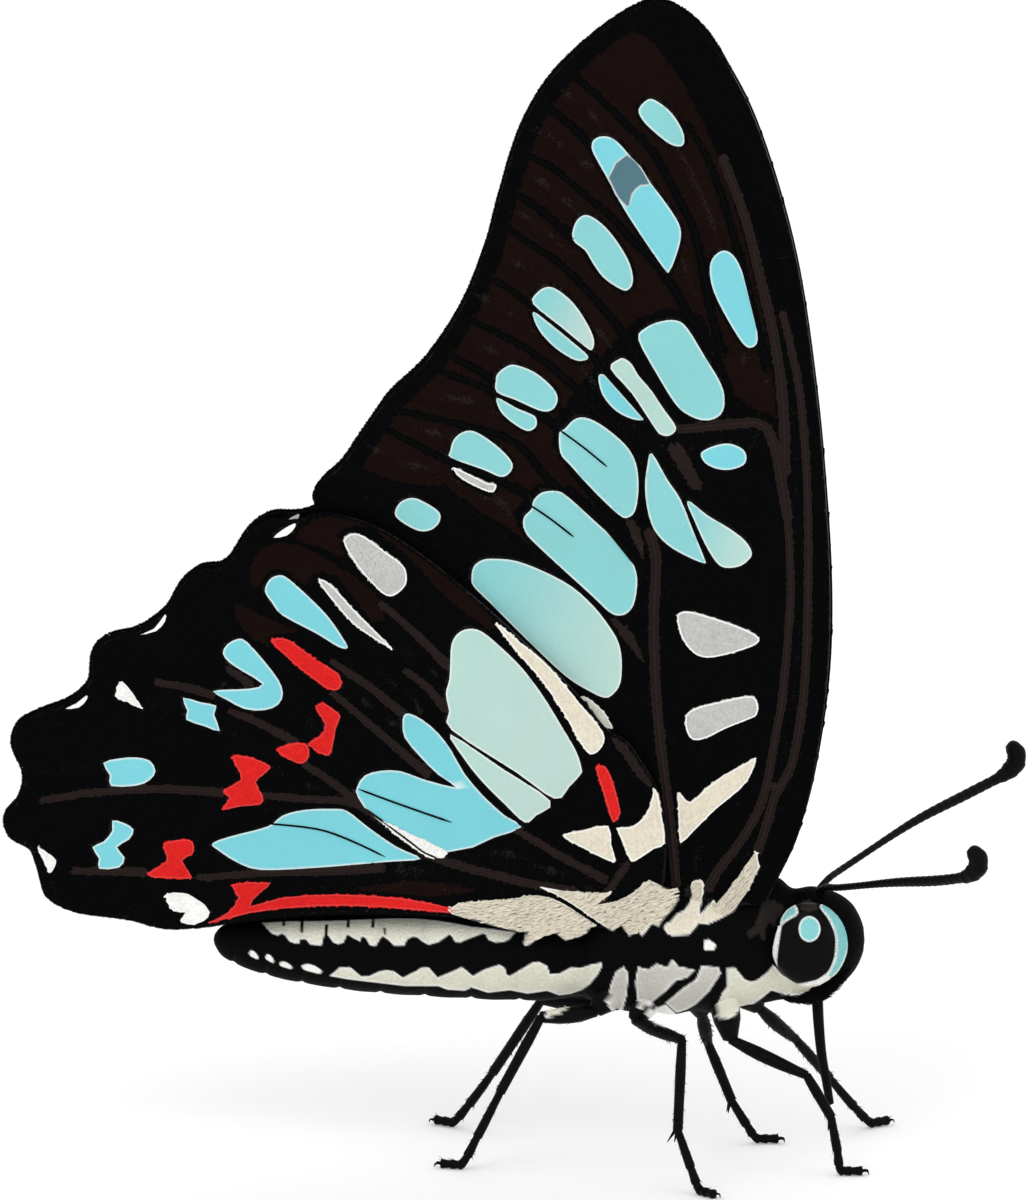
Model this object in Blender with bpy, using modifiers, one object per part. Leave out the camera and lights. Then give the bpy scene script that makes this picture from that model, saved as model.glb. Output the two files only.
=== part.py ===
"""Jay swallowtail butterfly at rest, life size: wings closed over its back, tongue let down, six feet on the floor.

Metres, +Z up, head towards +X, left side towards +Y. The origin is on the floor, under the middle of the
model's box. Sizes below are millimetres and are turned into metres where a mesh or a curve is made.
"""

import math

import bmesh
import bpy
from mathutils import Vector
from mathutils.geometry import delaunay_2d_cdt, intersect_point_line

MM = 0.001
NAME = "swallowtail_butterfly"

# Driving dimensions.
MIDDLE_SHIFT = 0.445  # moves the animal forwards, so that the box is centred on the origin
WING_THICKNESS = 0.5
FIT_GAP = 0.25  # clearance between pieces that meet
RING_SIDES = 20  # sides of a body section
TUBE_RESOLUTION = 2  # gives a tube eight sides
MERGE = 1e-6  # metres, for welding caps
FILL_INSIDE = 1  # delaunay_2d_cdt keeps the triangles inside the outline
FILL_TOLERANCE = 1e-5

# Wing charts: (s, t) as the right side looks from a little above and a little in front, s forwards and t up.
VIEW_TILT = math.radians(12.0)
VIEW_TURN = math.radians(4.2)
OUTLINE_STEPS = 2
WING_GRID = 4.0  # spacing of the points inside the outline, which carry the camber
WING_GRID_CLEAR = 1.3  # and how far they stay from it

FOREWING_COSTA = (
    (11.0, 11.2), (11.6, 12.4), (12.6, 14.6), (13.4, 17.6), (13.95, 21.5), (14.15, 25.5), (14.05, 30.0),
    (13.7, 34.5), (12.95, 39.8), (11.9, 44.0), (10.6, 47.6), (9.0, 50.3), (7.7, 51.6), (6.3, 52.15),
)  # fmt: skip
FOREWING_MARGIN = (
    (4.9, 51.75), (3.0, 50.4), (1.2, 48.6), (0.0, 46.4), (-0.8, 43.7), (-1.5, 41.1), (-2.6, 38.5),
    (-4.2, 36.1), (-5.8, 34.6), (-6.9, 33.1), (-8.0, 31.5), (-8.9, 30.7),
)  # fmt: skip
FOREWING_DORSUM = ((-9.25, 29.8), (-8.6, 28.6), (-5.5, 26.0), (-1.5, 22.3), (2.5, 18.2), (5.4, 15.0), (7.0, 12.6))
FOREWING_ROOT = ((7.8, 11.2),)

HINDWING_COSTA = (
    (5.9, 10.9), (6.1, 12.2), (6.05, 13.8), (5.7, 15.6), (4.9, 17.6), (3.7, 19.7), (2.1, 21.8), (0.0, 23.8),
    (-2.0, 25.6), (-4.1, 27.3), (-6.4, 28.7), (-8.5, 29.2),
)  # fmt: skip
# Each lobe of the scalloped margin: its shoulders, then the notch that ends it.
HINDWING_LOBES = (
    (-9.9, 29.05), (-11.2, 29.0), (-12.2, 28.35), (-13.1, 26.85),
    (-14.2, 26.65), (-15.1, 25.95), (-15.8, 24.8), (-17.0, 23.95),
    (-18.3, 23.6), (-19.05, 22.95), (-19.25, 21.6), (-20.1, 20.75),
    (-21.5, 20.2), (-22.5, 19.6), (-22.7, 18.7), (-22.2, 17.4),
    (-22.45, 16.3), (-23.05, 15.5), (-22.8, 14.55), (-21.9, 14.0),
)  # fmt: skip
HINDWING_INNER_MARGIN = (
    (-21.6, 13.0), (-21.2, 11.8), (-19.9, 11.1), (-17.5, 10.75), (-15.9, 10.35), (-14.2, 10.4), (-12.2, 10.7),
    (-9.5, 10.95), (-6.0, 11.0), (-2.5, 10.75), (0.5, 10.45), (3.0, 10.35),
)  # fmt: skip
HINDWING_ROOT = ((4.6, 10.3),)

# How far each wing's mid sheet stands from the body's middle plane.
SHEET_ROOT = (8.0, 12.0)  # chart place of the wing hinges
SHEET_AT_ROOT = 1.8
SHEET_CLOSED = 0.37
SHEET_CLOSES_OVER = 22.0
SHEET_BOW = 0.16
SHEET_SPAN = 40.0
HINDWING_OUTSIDE_BY = 0.75  # the hindwing lies outside the forewing, down to the forewing's hidden edge
DORSUM_LINE = ((-9.25, 29.8), (7.0, 12.6))
HINDWING_CLOSES_FROM = 1.0
HINDWING_CLOSES_OVER = 7.0
CLASP_STAND_OFF = 2.05  # beside the abdomen
CLASP_FROM_T = 10.4
CLASP_HEIGHT = 3.5
CLASP_FRONT_S = 3.5
CLASP_FRONT_LENGTH = 3.0
CLASP_REAR_S = -15.0
CLASP_REAR_LENGTH = 4.0

# Body sections: (x, lowest z, highest z, half width).
ABDOMEN = (
    (-13.65, 9.55, 10.25, 0.35), (-13.2, 9.05, 10.65, 0.75), (-12.0, 8.55, 10.95, 1.15),
    (-10.0, 8.05, 11.15, 1.45), (-7.0, 7.65, 11.3, 1.7), (-3.5, 7.45, 11.4, 1.9), (0.0, 7.35, 11.5, 2.0),
    (1.8, 7.45, 11.5, 1.85), (2.8, 7.9, 11.2, 1.45),
)  # fmt: skip
THORAX = (
    (3.1, 7.9, 11.4, 1.5), (3.6, 7.35, 12.0, 2.05), (4.8, 7.05, 12.75, 2.5), (6.4, 6.95, 13.3, 2.8),
    (8.1, 6.95, 13.45, 2.85), (9.5, 7.0, 13.25, 2.5), (10.3, 7.3, 12.9, 2.1), (10.7, 7.8, 12.4, 1.65),
)  # fmt: skip
NECK = ((11.0, 7.9, 12.5, 1.4), (11.3, 7.4, 12.95, 1.75), (11.65, 7.9, 12.5, 1.35))
HEAD = (
    (11.95, 8.5, 12.3, 1.0), (12.4, 8.05, 12.75, 1.4), (13.4, 8.0, 12.85, 1.6), (14.4, 8.1, 12.6, 1.5),
    (15.15, 8.7, 12.0, 1.2), (15.7, 9.6, 11.1, 0.65),
)  # fmt: skip
SECTION_STEPS = 2

EYE_CENTRE = (13.3, 1.6, 10.45)
EYE_HALF_SIZES = (1.68, 0.95, 1.9)
EYE_SEGMENTS = 20
EYE_RINGS = 12

PALP = ((12.1, 0.7, 7.85), (13.0, 0.78, 7.67), (14.0, 0.8, 7.87), (14.8, 0.74, 8.5), (15.25, 0.62, 9.4))
PALP_RADII = (0.34, 0.42, 0.42, 0.38, 0.3)
TONGUE = ((13.7, 0.0, 8.3), (13.8, 0.0, 7.0), (13.95, 0.0, 5.2), (14.15, 0.0, 3.7), (14.25, 0.0, 2.7))
TONGUE_RADII = (0.32, 0.3, 0.29, 0.28, 0.28)

ANTENNA = ((13.75, 0.55, 12.1), (14.2, 1.35, 12.9), (15.6, 3.95, 13.65), (18.6, 7.95, 14.7), (20.85, 10.45, 15.4))
ANTENNA_RADII = (0.28, 0.28, 0.28, 0.28, 0.29)
CLUB = ((21.07, 10.68, 15.5), (21.5, 11.05, 15.78), (21.75, 11.3, 16.22), (21.7, 11.4, 16.6), (21.38, 11.4, 16.9))
CLUB_RADII = (0.29, 0.37, 0.44, 0.42, 0.3)

# Legs: the shoulder inside the thorax, then hip, knee, ankle and toe.
LEGS = {
    "leg_right_front": ((9.4, -0.9, 8.0), (9.8, -1.5, 6.0), (13.1, -2.4, 4.6), (14.2, -2.5, 2.7), (15.75, -2.4, 0.0)),
    "leg_right_mid": ((6.2, -1.0, 8.0), (5.5, -1.7, 6.85), (7.82, -4.6, 6.65), (7.72, -5.8, 2.75), (9.45, -7.5, 0.0)),
    "leg_right_hind": ((4.6, -1.0, 8.2), (3.7, -1.5, 7.1), (1.35, -2.9, 7.05), (-0.5, -2.9, 3.7), (-3.2, -2.3, 0.0)),
    "leg_left_front": ((9.9, 0.9, 8.0), (10.9, 1.3, 6.85), (12.27, 3.6, 4.85), (13.63, 5.6, 2.6), (16.3, 7.9, 0.0)),
    "leg_left_mid": ((7.9, 1.0, 8.0), (8.3, 1.6, 6.45), (8.45, 3.4, 4.7), (9.5, 3.7, 2.0), (11.6, 3.8, 0.0)),
    "leg_left_hind": ((4.9, 1.0, 8.0), (4.3, 1.5, 6.5), (0.95, 3.2, 6.4), (-1.4, 4.8, 2.85), (-4.1, 6.5, 0.0)),
}  # fmt: skip
COXA_RADII = (0.85, 0.8, 0.5)
FEMUR_RADII = (0.3, 0.42, 0.4, 0.29)
TIBIA_RADII = (0.28, 0.31, 0.3, 0.28)
ANKLE_RADIUS = 0.28
TARSUS_RADIUS = 0.3
SEGMENT_END_BY = 0.2  # leg pieces stop this far short of a joint
TOE_SINK = 0.06  # the sole is cut flat where the foot would pass this far under the floor
FOOT_LENGTH = 0.9

BLACK = (0.012, 0.010, 0.010)
DARK_BROWN = (0.030, 0.020, 0.017)
EYE_BLACK = (0.010, 0.011, 0.013)


def smooth(value):
    """Zero to one with level ends."""
    share = min(1.0, max(0.0, value))
    return share * share * (3 - 2 * share)


def spline(points, steps):
    """Points on a Catmull-Rom curve through the given ones, of any number of coordinates."""
    found = []
    last = len(points) - 1
    for i in range(last):
        before, a, b, after = points[max(i - 1, 0)], points[i], points[i + 1], points[min(i + 2, last)]
        for step in range(steps):
            u = step / steps
            found.append(
                tuple(
                    0.5 * (2 * q + (r - p) * u + (2 * p - 5 * q + 4 * r - w) * u**2 + (3 * q - p - 3 * r + w) * u**3)
                    for p, q, r, w in zip(before, a, b, after)
                )
            )
    return [*found, tuple(points[-1])]


def metres(point):
    """A point of the animal, in millimetres, as a place in the model."""
    x, y, z = point
    return Vector(((x + MIDDLE_SHIFT) * MM, y * MM, z * MM))


def forewing_stand_off(s, t):
    """Distance of the forewing's mid sheet from the middle plane."""
    away = math.hypot(s - SHEET_ROOT[0], t - SHEET_ROOT[1])
    closing = 1 - smooth(away / SHEET_CLOSES_OVER)
    bow = SHEET_BOW * math.sin(math.pi * min(1.0, away / SHEET_SPAN))
    return SHEET_CLOSED + (SHEET_AT_ROOT - SHEET_CLOSED) * closing + bow


def hindwing_stand_off(s, t):
    """Distance of the hindwing's mid sheet from the middle plane."""
    (s0, t0), (s1, t1) = DORSUM_LINE
    below = ((s - s0) * (t1 - t0) - (t - t0) * (s1 - s0)) / math.hypot(s1 - s0, t1 - t0)
    outside = 1 - smooth((below - HINDWING_CLOSES_FROM) / HINDWING_CLOSES_OVER)
    free = forewing_stand_off(s, t) + HINDWING_OUTSIDE_BY * outside
    clasp = 1 - smooth((t - CLASP_FROM_T) / CLASP_HEIGHT)
    clasp *= smooth((CLASP_FRONT_S - s) / CLASP_FRONT_LENGTH)
    clasp *= smooth((s - CLASP_REAR_S) / CLASP_REAR_LENGTH)
    return free + clasp * (CLASP_STAND_OFF - free)


def wing_place(s, t, stand_off):
    """The chart place put on the left wing's mid sheet, with the chart's slanted view undone."""
    y = stand_off(s, t)
    x = (s + y * math.sin(VIEW_TURN)) / math.cos(VIEW_TURN)
    lean = y * math.cos(VIEW_TURN) + x * math.sin(VIEW_TURN)
    return metres((x, y, (t + lean * math.sin(VIEW_TILT)) / math.cos(VIEW_TILT)))


def make_material(name, colour, roughness):
    """A plain finish for a sub-part."""
    material = bpy.data.materials.new(name)
    material.use_nodes = True
    shader = material.node_tree.nodes["Principled BSDF"]
    shader.inputs["Base Color"].default_value = (*colour, 1.0)
    shader.inputs["Roughness"].default_value = roughness
    return material


def make_object(name, mesh, material, collection):
    """Links a mesh or curve as a named object with its finish."""
    thing = bpy.data.objects.new(name, mesh)
    mesh.materials.append(material)
    collection.objects.link(thing)
    return thing


def as_cutter(thing):
    """Marks a helper that only trims other pieces."""
    thing.hide_render = True
    thing.display_type = "WIRE"
    return thing


def cut_away(thing, cutter):
    """Takes the cutter's space out of a piece."""
    cut = thing.modifiers.new("clear_" + cutter.name, "BOOLEAN")
    cut.operation = "DIFFERENCE"
    cut.solver = "EXACT"
    cut.object = cutter


def shade_smooth(thing, degrees=50):
    """Shades a round piece smooth, with creases kept."""
    thing.data.shade_smooth()
    thing.data.set_sharp_from_angle(angle=math.radians(degrees))


def loft(name, stations, material, collection, grow=0.0):
    """A closed body through oval sections, each grown by a clearance."""
    rings = spline(stations, SECTION_STEPS)
    shape = bmesh.new()
    made = []
    for i, (x, low, high, half) in enumerate(rings):
        x += grow * (-1 if i == 0 else 1 if i == len(rings) - 1 else 0)
        middle, tall = (low + high) / 2, (high - low) / 2 + grow
        ring = []
        for side in range(RING_SIDES):
            angle = 2 * math.pi * side / RING_SIDES
            place = (x, (half + grow) * math.cos(angle), middle + tall * math.sin(angle))
            ring.append(shape.verts.new(metres(place)))
        made.append(ring)
    for first, second in zip(made, made[1:]):
        for side in range(RING_SIDES):
            after = (side + 1) % RING_SIDES
            shape.faces.new((first[side], second[side], second[after], first[after]))
    shape.faces.new(made[0])
    shape.faces.new(made[-1][::-1])
    bmesh.ops.recalc_face_normals(shape, faces=shape.faces)
    mesh = bpy.data.meshes.new(name)
    shape.to_mesh(mesh)
    shape.free()
    thing = make_object(name, mesh, material, collection)
    shade_smooth(thing)
    return thing


def tube(name, points, radii, material, collection, grow=0.0):
    """A closed, tapering tube along the points, as a mesh that can be trimmed."""
    curve = bpy.data.curves.new(name + "_line", "CURVE")
    curve.dimensions = "3D"
    curve.bevel_depth = MM
    curve.bevel_resolution = TUBE_RESOLUTION
    curve.use_fill_caps = True
    line = curve.splines.new("POLY")
    line.points.add(len(points) - 1)
    for knot, place, radius in zip(line.points, points, radii):
        knot.co = (*metres(place), 1.0)
        knot.radius = radius + grow
    guide = bpy.data.objects.new(name + "_line", curve)
    collection.objects.link(guide)
    bpy.context.view_layer.update()
    evaluated = guide.evaluated_get(bpy.context.evaluated_depsgraph_get())
    mesh = bpy.data.meshes.new_from_object(evaluated)
    mesh.materials.clear()
    mesh.name = name
    shape = bmesh.new()
    shape.from_mesh(mesh)
    bmesh.ops.remove_doubles(shape, verts=shape.verts, dist=MERGE)
    bmesh.ops.recalc_face_normals(shape, faces=shape.faces)
    shape.to_mesh(mesh)
    shape.free()
    thing = make_object(name, mesh, material, collection)
    thing.matrix_world = guide.matrix_world
    bpy.data.objects.remove(guide)
    bpy.data.curves.remove(curve)
    shade_smooth(thing)
    return thing


def smooth_tube(name, points, radii, steps, material, collection):
    """A tube on a smooth curve through the points, its radius eased between theirs."""
    knots = spline([(*point, radius) for point, radius in zip(points, radii)], steps)
    return tube(name, [knot[:3] for knot in knots], [knot[3] for knot in knots], material, collection)


def grid_inside(outline):
    """Points of a square grid inside a closed outline, none of them close to it."""
    low_s, high_s = min(s for s, _ in outline), max(s for s, _ in outline)
    low_t, high_t = min(t for _, t in outline), max(t for _, t in outline)
    edges = list(zip(outline, outline[1:] + outline[:1]))
    found = []
    for column in range(int((high_s - low_s) / WING_GRID) + 1):
        for row in range(int((high_t - low_t) / WING_GRID) + 1):
            spot = Vector((low_s + column * WING_GRID, low_t + row * WING_GRID))
            crossings = 0
            clear = True
            for a, b in edges:
                if (a[1] > spot.y) != (b[1] > spot.y):
                    crossings += spot.x < a[0] + (spot.y - a[1]) / (b[1] - a[1]) * (b[0] - a[0])
                near, share = intersect_point_line(spot, Vector(a), Vector(b))
                near = Vector(a).lerp(Vector(b), min(1.0, max(0.0, share)))
                clear = clear and (near - spot).length > WING_GRID_CLEAR
            if clear and crossings % 2:
                found.append(spot)
    return found


def wing(name, side, outline, stand_off, material, collection):
    """One wing: its flat outline filled, bent to its camber and given its thickness."""
    spots = [Vector(point) for point in outline] + grid_inside(outline)
    rim = list(range(len(outline)))
    flat, _, triangles, *_ = delaunay_2d_cdt(spots, [], [rim], FILL_INSIDE, FILL_TOLERANCE)
    shape = bmesh.new()
    corners = []
    for spot in flat:
        place = wing_place(spot.x, spot.y, stand_off)
        corners.append(shape.verts.new((place.x, side * place.y, place.z)))
    for triangle in triangles:
        shape.faces.new([corners[i] for i in (triangle if side < 0 else triangle[::-1])])
    bmesh.ops.delete(shape, geom=[corner for corner in corners if not corner.link_faces], context="VERTS")
    mesh = bpy.data.meshes.new(name)
    shape.to_mesh(mesh)
    shape.free()
    thing = make_object(name, mesh, material, collection)
    wall = thing.modifiers.new("thickness", "SOLIDIFY")
    wall.thickness = WING_THICKNESS * MM
    wall.offset = 0.0
    shade_smooth(thing)
    return thing


def between(a, b, share):
    """The point at a share of the way from a to b."""
    return tuple(p + share * (q - p) for p, q in zip(a, b))


def stopped_short(a, b, at_start, at_end):
    """The line from a to b with a length taken off each end."""
    length = math.dist(a, b)
    return between(a, b, at_start / length), between(a, b, 1 - at_end / length)


def four_between(a, b):
    """Four points from a to b."""
    return [between(a, b, share) for share in (0.0, 0.3, 0.7, 1.0)]


def tarsus_line(ankle, toe):
    """The foot: down from the ankle, then flat along the floor."""
    ax, ay, az = ankle
    reach = math.hypot(toe[0] - ax, toe[1] - ay)
    back = 1 - FOOT_LENGTH / reach
    sole = TARSUS_RADIUS - TOE_SINK
    heel = (*between((ax, ay), toe[:2], back), sole)
    middle = between(ankle, heel, 0.55)
    first, _ = stopped_short(ankle, middle, SEGMENT_END_BY, 0.0)
    return [first, (middle[0], middle[1], middle[2] - 0.12), heel, (toe[0], toe[1], sole)]


def flatten_sole(thing):
    """Cuts a foot flat at floor level."""
    shape = bmesh.new()
    shape.from_mesh(thing.data)
    parts = [*shape.verts, *shape.edges, *shape.faces]
    cut = bmesh.ops.bisect_plane(
        shape, geom=parts, dist=MERGE, plane_co=(0, 0, 0), plane_no=(0, 0, -1), clear_outer=True
    )
    rim = [item for item in cut["geom_cut"] if isinstance(item, bmesh.types.BMEdge)]
    bmesh.ops.contextual_create(shape, geom=rim)
    bmesh.ops.recalc_face_normals(shape, faces=shape.faces)
    shape.to_mesh(thing.data)
    shape.free()


def make_leg(name, joints, clearance, finish, collection):
    """Coxa, femur, tibia and tarsus of one leg."""
    shoulder, hip, knee, ankle, toe = joints
    coxa_line = stopped_short(shoulder, hip, 0.0, SEGMENT_END_BY)
    middle = between(*coxa_line, 0.6)
    coxa = tube(name + "_coxa", (coxa_line[0], middle, coxa_line[1]), COXA_RADII, finish, collection)
    cut_away(coxa, clearance)
    femur_line = four_between(*stopped_short(hip, knee, SEGMENT_END_BY + FIT_GAP, SEGMENT_END_BY))
    femur = smooth_tube(name + "_femur", femur_line, FEMUR_RADII, 2, finish, collection)
    cut_away(femur, clearance)
    tibia_line = four_between(*stopped_short(knee, ankle, SEGMENT_END_BY, SEGMENT_END_BY / 2))
    smooth_tube(name + "_tibia", tibia_line, TIBIA_RADII, 2, finish, collection)
    foot_radii = (ANKLE_RADIUS, ANKLE_RADIUS, TARSUS_RADIUS, TARSUS_RADIUS)
    foot = smooth_tube(name + "_tarsus", tarsus_line(ankle, toe), foot_radii, 3, finish, collection)
    flatten_sole(foot)


def make_eye(name, side, finish, collection, grow=0.0):
    """A compound eye, or its socket when grown."""
    x, y, z = EYE_CENTRE
    shape = bmesh.new()
    bmesh.ops.create_uvsphere(shape, u_segments=EYE_SEGMENTS, v_segments=EYE_RINGS, radius=MM)
    half = [size + grow for size in EYE_HALF_SIZES]
    bmesh.ops.scale(shape, vec=half, verts=shape.verts)
    bmesh.ops.translate(shape, vec=metres((x, side * y, z)), verts=shape.verts)
    mesh = bpy.data.meshes.new(name)
    shape.to_mesh(mesh)
    shape.free()
    thing = make_object(name, mesh, finish, collection)
    shade_smooth(thing)
    return thing


def mirrored(points, side):
    """The left side's points for one side."""
    return [(x, side * y, z) for x, y, z in points]


def main():
    for old in list(bpy.data.objects):
        bpy.data.objects.remove(old)
    body_parts = bpy.data.collections.new(NAME)
    cutters = bpy.data.collections.new("cutters")
    bpy.context.scene.collection.children.link(body_parts)
    bpy.context.scene.collection.children.link(cutters)

    cuticle = make_material("cuticle", BLACK, 0.7)
    membrane = make_material("wing_scales", DARK_BROWN, 0.8)
    eye_finish = make_material("eye", EYE_BLACK, 0.2)

    loft("abdomen", ABDOMEN, cuticle, body_parts)
    loft("thorax", THORAX, cuticle, body_parts)
    loft("neck", NECK, cuticle, body_parts)
    head = loft("head", HEAD, cuticle, body_parts)

    clear_thorax = as_cutter(loft("thorax_clearance", THORAX, cuticle, cutters, FIT_GAP))
    clear_abdomen = as_cutter(loft("abdomen_clearance", ABDOMEN, cuticle, cutters, FIT_GAP))
    clear_head = as_cutter(loft("head_clearance", HEAD, cuticle, cutters, FIT_GAP))

    forewing_outline = [
        *spline([*FOREWING_COSTA, *FOREWING_MARGIN, *FOREWING_DORSUM], OUTLINE_STEPS),
        *FOREWING_ROOT,
    ]
    hindwing_outline = [
        *spline([*HINDWING_COSTA, *HINDWING_LOBES, *HINDWING_INNER_MARGIN], OUTLINE_STEPS),
        *HINDWING_ROOT,
    ]
    for side, word in ((1, "left"), (-1, "right")):
        socket = as_cutter(make_eye("eye_socket_" + word, side, eye_finish, cutters, FIT_GAP))
        cut_away(head, socket)
        make_eye("eye_" + word, side, eye_finish, body_parts)

        palp = smooth_tube("palp_" + word, mirrored(PALP, side), PALP_RADII, 2, cuticle, body_parts)
        cut_away(palp, clear_head)
        cut_away(palp, socket)
        shaft = smooth_tube("antenna_" + word, mirrored(ANTENNA, side), ANTENNA_RADII, 3, cuticle, body_parts)
        cut_away(shaft, clear_head)
        smooth_tube("antenna_club_" + word, mirrored(CLUB, side), CLUB_RADII, 2, cuticle, body_parts)

        forewing = wing("forewing_" + word, side, forewing_outline, forewing_stand_off, membrane, body_parts)
        cut_away(forewing, clear_thorax)
        hindwing = wing("hindwing_" + word, side, hindwing_outline, hindwing_stand_off, membrane, body_parts)
        cut_away(hindwing, clear_thorax)
        cut_away(hindwing, clear_abdomen)

    tongue = smooth_tube("tongue", TONGUE, TONGUE_RADII, 2, cuticle, body_parts)
    cut_away(tongue, clear_head)
    for name, joints in LEGS.items():
        make_leg(name, joints, clear_thorax, cuticle, body_parts)


if __name__ == "__main__":
    main()
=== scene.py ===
"""Jay swallowtail butterfly at rest, life size: scaled wings, furred body and faceted eyes on a pale floor.

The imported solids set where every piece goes. Sizes below are millimetres in the animal's own frame, head
towards +X, left side towards +Y, floor at zero, and become metres where a mesh is made.
"""

from __future__ import annotations

import logging
import math
from collections.abc import Callable, Sequence
from dataclasses import dataclass, field
from enum import Enum

import bmesh
import bpy
import numpy as np
from bpy.types import Material, Mesh, Node, NodeSocket, NodeTree, Object
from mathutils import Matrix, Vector
from mathutils.geometry import delaunay_2d_cdt


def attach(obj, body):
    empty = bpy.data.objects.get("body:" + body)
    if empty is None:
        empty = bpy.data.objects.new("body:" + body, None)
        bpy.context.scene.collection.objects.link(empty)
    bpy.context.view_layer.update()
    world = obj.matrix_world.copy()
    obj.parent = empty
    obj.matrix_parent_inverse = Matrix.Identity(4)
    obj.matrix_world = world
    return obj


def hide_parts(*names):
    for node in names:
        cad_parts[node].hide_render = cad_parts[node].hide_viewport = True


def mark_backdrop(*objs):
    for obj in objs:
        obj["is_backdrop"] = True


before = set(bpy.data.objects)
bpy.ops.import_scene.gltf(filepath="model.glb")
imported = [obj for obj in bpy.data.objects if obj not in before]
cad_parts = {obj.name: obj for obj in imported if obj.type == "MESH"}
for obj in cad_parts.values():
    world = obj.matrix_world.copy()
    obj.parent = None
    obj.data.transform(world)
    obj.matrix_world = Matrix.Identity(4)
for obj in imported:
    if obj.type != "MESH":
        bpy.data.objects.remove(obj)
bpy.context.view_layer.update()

LOG = logging.getLogger("butterfly")
MM = 0.001
MIDDLE_SHIFT = 0.445  # moves the animal forwards to the middle of the model's box
BODY = "root"
PATCH_MAP = "OFBake"
PATCH_SIZE = 0.003

Rows = np.ndarray
Chance = np.random.Generator
Spot = tuple[float, float]
Place = tuple[float, float, float]
Wire = object


class Tint(Enum):
    """Colours of scales, hairs, membrane and horn, as 8-bit sRGB."""

    SOOT = (4, 4, 5)
    UMBER = (22, 11, 9)
    BARK = (37, 29, 27)
    CHARCOAL = (38, 34, 32)
    SKY = (118, 199, 209)
    AQUA = (132, 198, 200)
    MIST = (173, 205, 197)
    FROST = (179, 204, 197)
    SLATE = (78, 112, 124)
    SILVER = (190, 191, 188)
    ASH = (192, 189, 182)
    SAND = (215, 213, 196)
    CREAM = (225, 217, 198)
    IVORY = (227, 226, 211)
    WHITE = (240, 240, 236)
    SCARLET = (217, 37, 36)

    @property
    def linear(self) -> Rows:
        """The colour as linear light."""
        share = np.array(self.value) / 255
        return np.where(share <= 0.04045, share / 12.92, ((share + 0.055) / 1.055) ** 2.4)

    @property
    def rim(self) -> Rows:
        """The paler colour, as linear light, of a mark's edge; dark marks have none."""
        dark = sum(self.value) < 150
        share = 0.0 if dark else 0.03 if self is Tint.SCARLET else 0.9
        return self.linear + share * (Tint.WHITE.linear - self.linear)


class Side(Enum):
    """The animal's two sides, each with its sign along Y."""

    LEFT = 1
    RIGHT = -1

    @property
    def word(self) -> str:
        """The side's name as it stands in a piece's name."""
        return self.name.lower()


class Face(Enum):
    """The two faces of a closed wing: the shown underside, and the upper side turned to the other wing."""

    SHOWN = 1
    HIDDEN = -1


# --- shapes


def ease(value: Rows | float) -> Rows:
    """Zero to one with level ends."""
    share = np.clip(value, 0.0, 1.0)
    return share * share * (3 - 2 * share)


def spline(points: Sequence[Sequence[float]], steps: int, closed: bool = False) -> Rows:
    """Points on a Catmull-Rom curve.

    Args:
        points: The points that it goes through, of any number of coordinates.
        steps: How many stretches each span is cut into.
        closed: Whether the last point runs on to the first.

    Returns:
        One row for each point on the curve.
    """
    knots = np.asarray(points, float)
    count = len(knots)
    found = []
    for i in range(count if closed else count - 1):
        picks = [i - 1, i, i + 1, i + 2]
        picks = [p % count for p in picks] if closed else [min(max(p, 0), count - 1) for p in picks]
        before, a, b, after = knots[picks]
        for u in np.arange(steps) / steps:
            bend = (2 * before - 5 * a + 4 * b - after) * u**2 + (3 * a - before - 3 * b + after) * u**3
            found.append(0.5 * (2 * a + (b - before) * u + bend))
    if not closed:
        found.append(knots[-1])
    return np.array(found)


def inside(spots: Rows, outline: Rows) -> Rows:
    """Which spots lie in a closed outline.

    Args:
        spots: The spots, one row each.
        outline: The outline's points.

    Returns:
        True where a spot lies in it.
    """
    x, y = spots[:, 0], spots[:, 1]
    odd = np.zeros(len(spots), bool)
    for a, b in zip(outline, np.roll(outline, -1, axis=0)):
        rise = (b[1] - a[1]) or 1e-12
        odd ^= ((a[1] > y) != (b[1] > y)) & (x < a[0] + (y - a[1]) / rise * (b[0] - a[0]))
    return odd


def gap_to(spots: Rows, path: Rows, closed: bool = False) -> tuple[Rows, Rows]:
    """How far spots lie from a path.

    Args:
        spots: The spots, one row each.
        path: The path's points.
        closed: Whether its last point runs on to the first.

    Returns:
        The distances, and the share of the path at which each is met.
    """
    ends = np.roll(path, -1, axis=0) if closed else path[1:]
    best = np.full(len(spots), 1e9)
    along = np.zeros(len(spots))
    for i, (a, b) in enumerate(zip(path, ends)):
        leg = b - a
        share = np.clip((spots - a) @ leg / max(leg @ leg, 1e-12), 0, 1)
        away = np.linalg.norm(spots - a - share[:, None] * leg, axis=1)
        nearer = away < best
        best[nearer] = away[nearer]
        along[nearer] = (i + share[nearer]) / len(ends)
    return best, along


def near(spots: Rows, line: Rows, reach: float, closed: bool = True) -> tuple[Rows, Rows]:
    """The numbers of the spots within reach of a line, and how far each lies from it.

    Args:
        spots: The spots, one row each.
        line: The line's points.
        reach: The reach.
        closed: Whether the line's last point runs on to the first.

    Returns:
        The numbers and the distances.
    """
    low, high = line.min(axis=0) - reach, line.max(axis=0) + reach
    close = np.flatnonzero(np.all((spots > low) & (spots < high), axis=1))
    gap = gap_to(spots[close], line, closed)[0]
    return close[gap < reach], gap[gap < reach]


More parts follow.
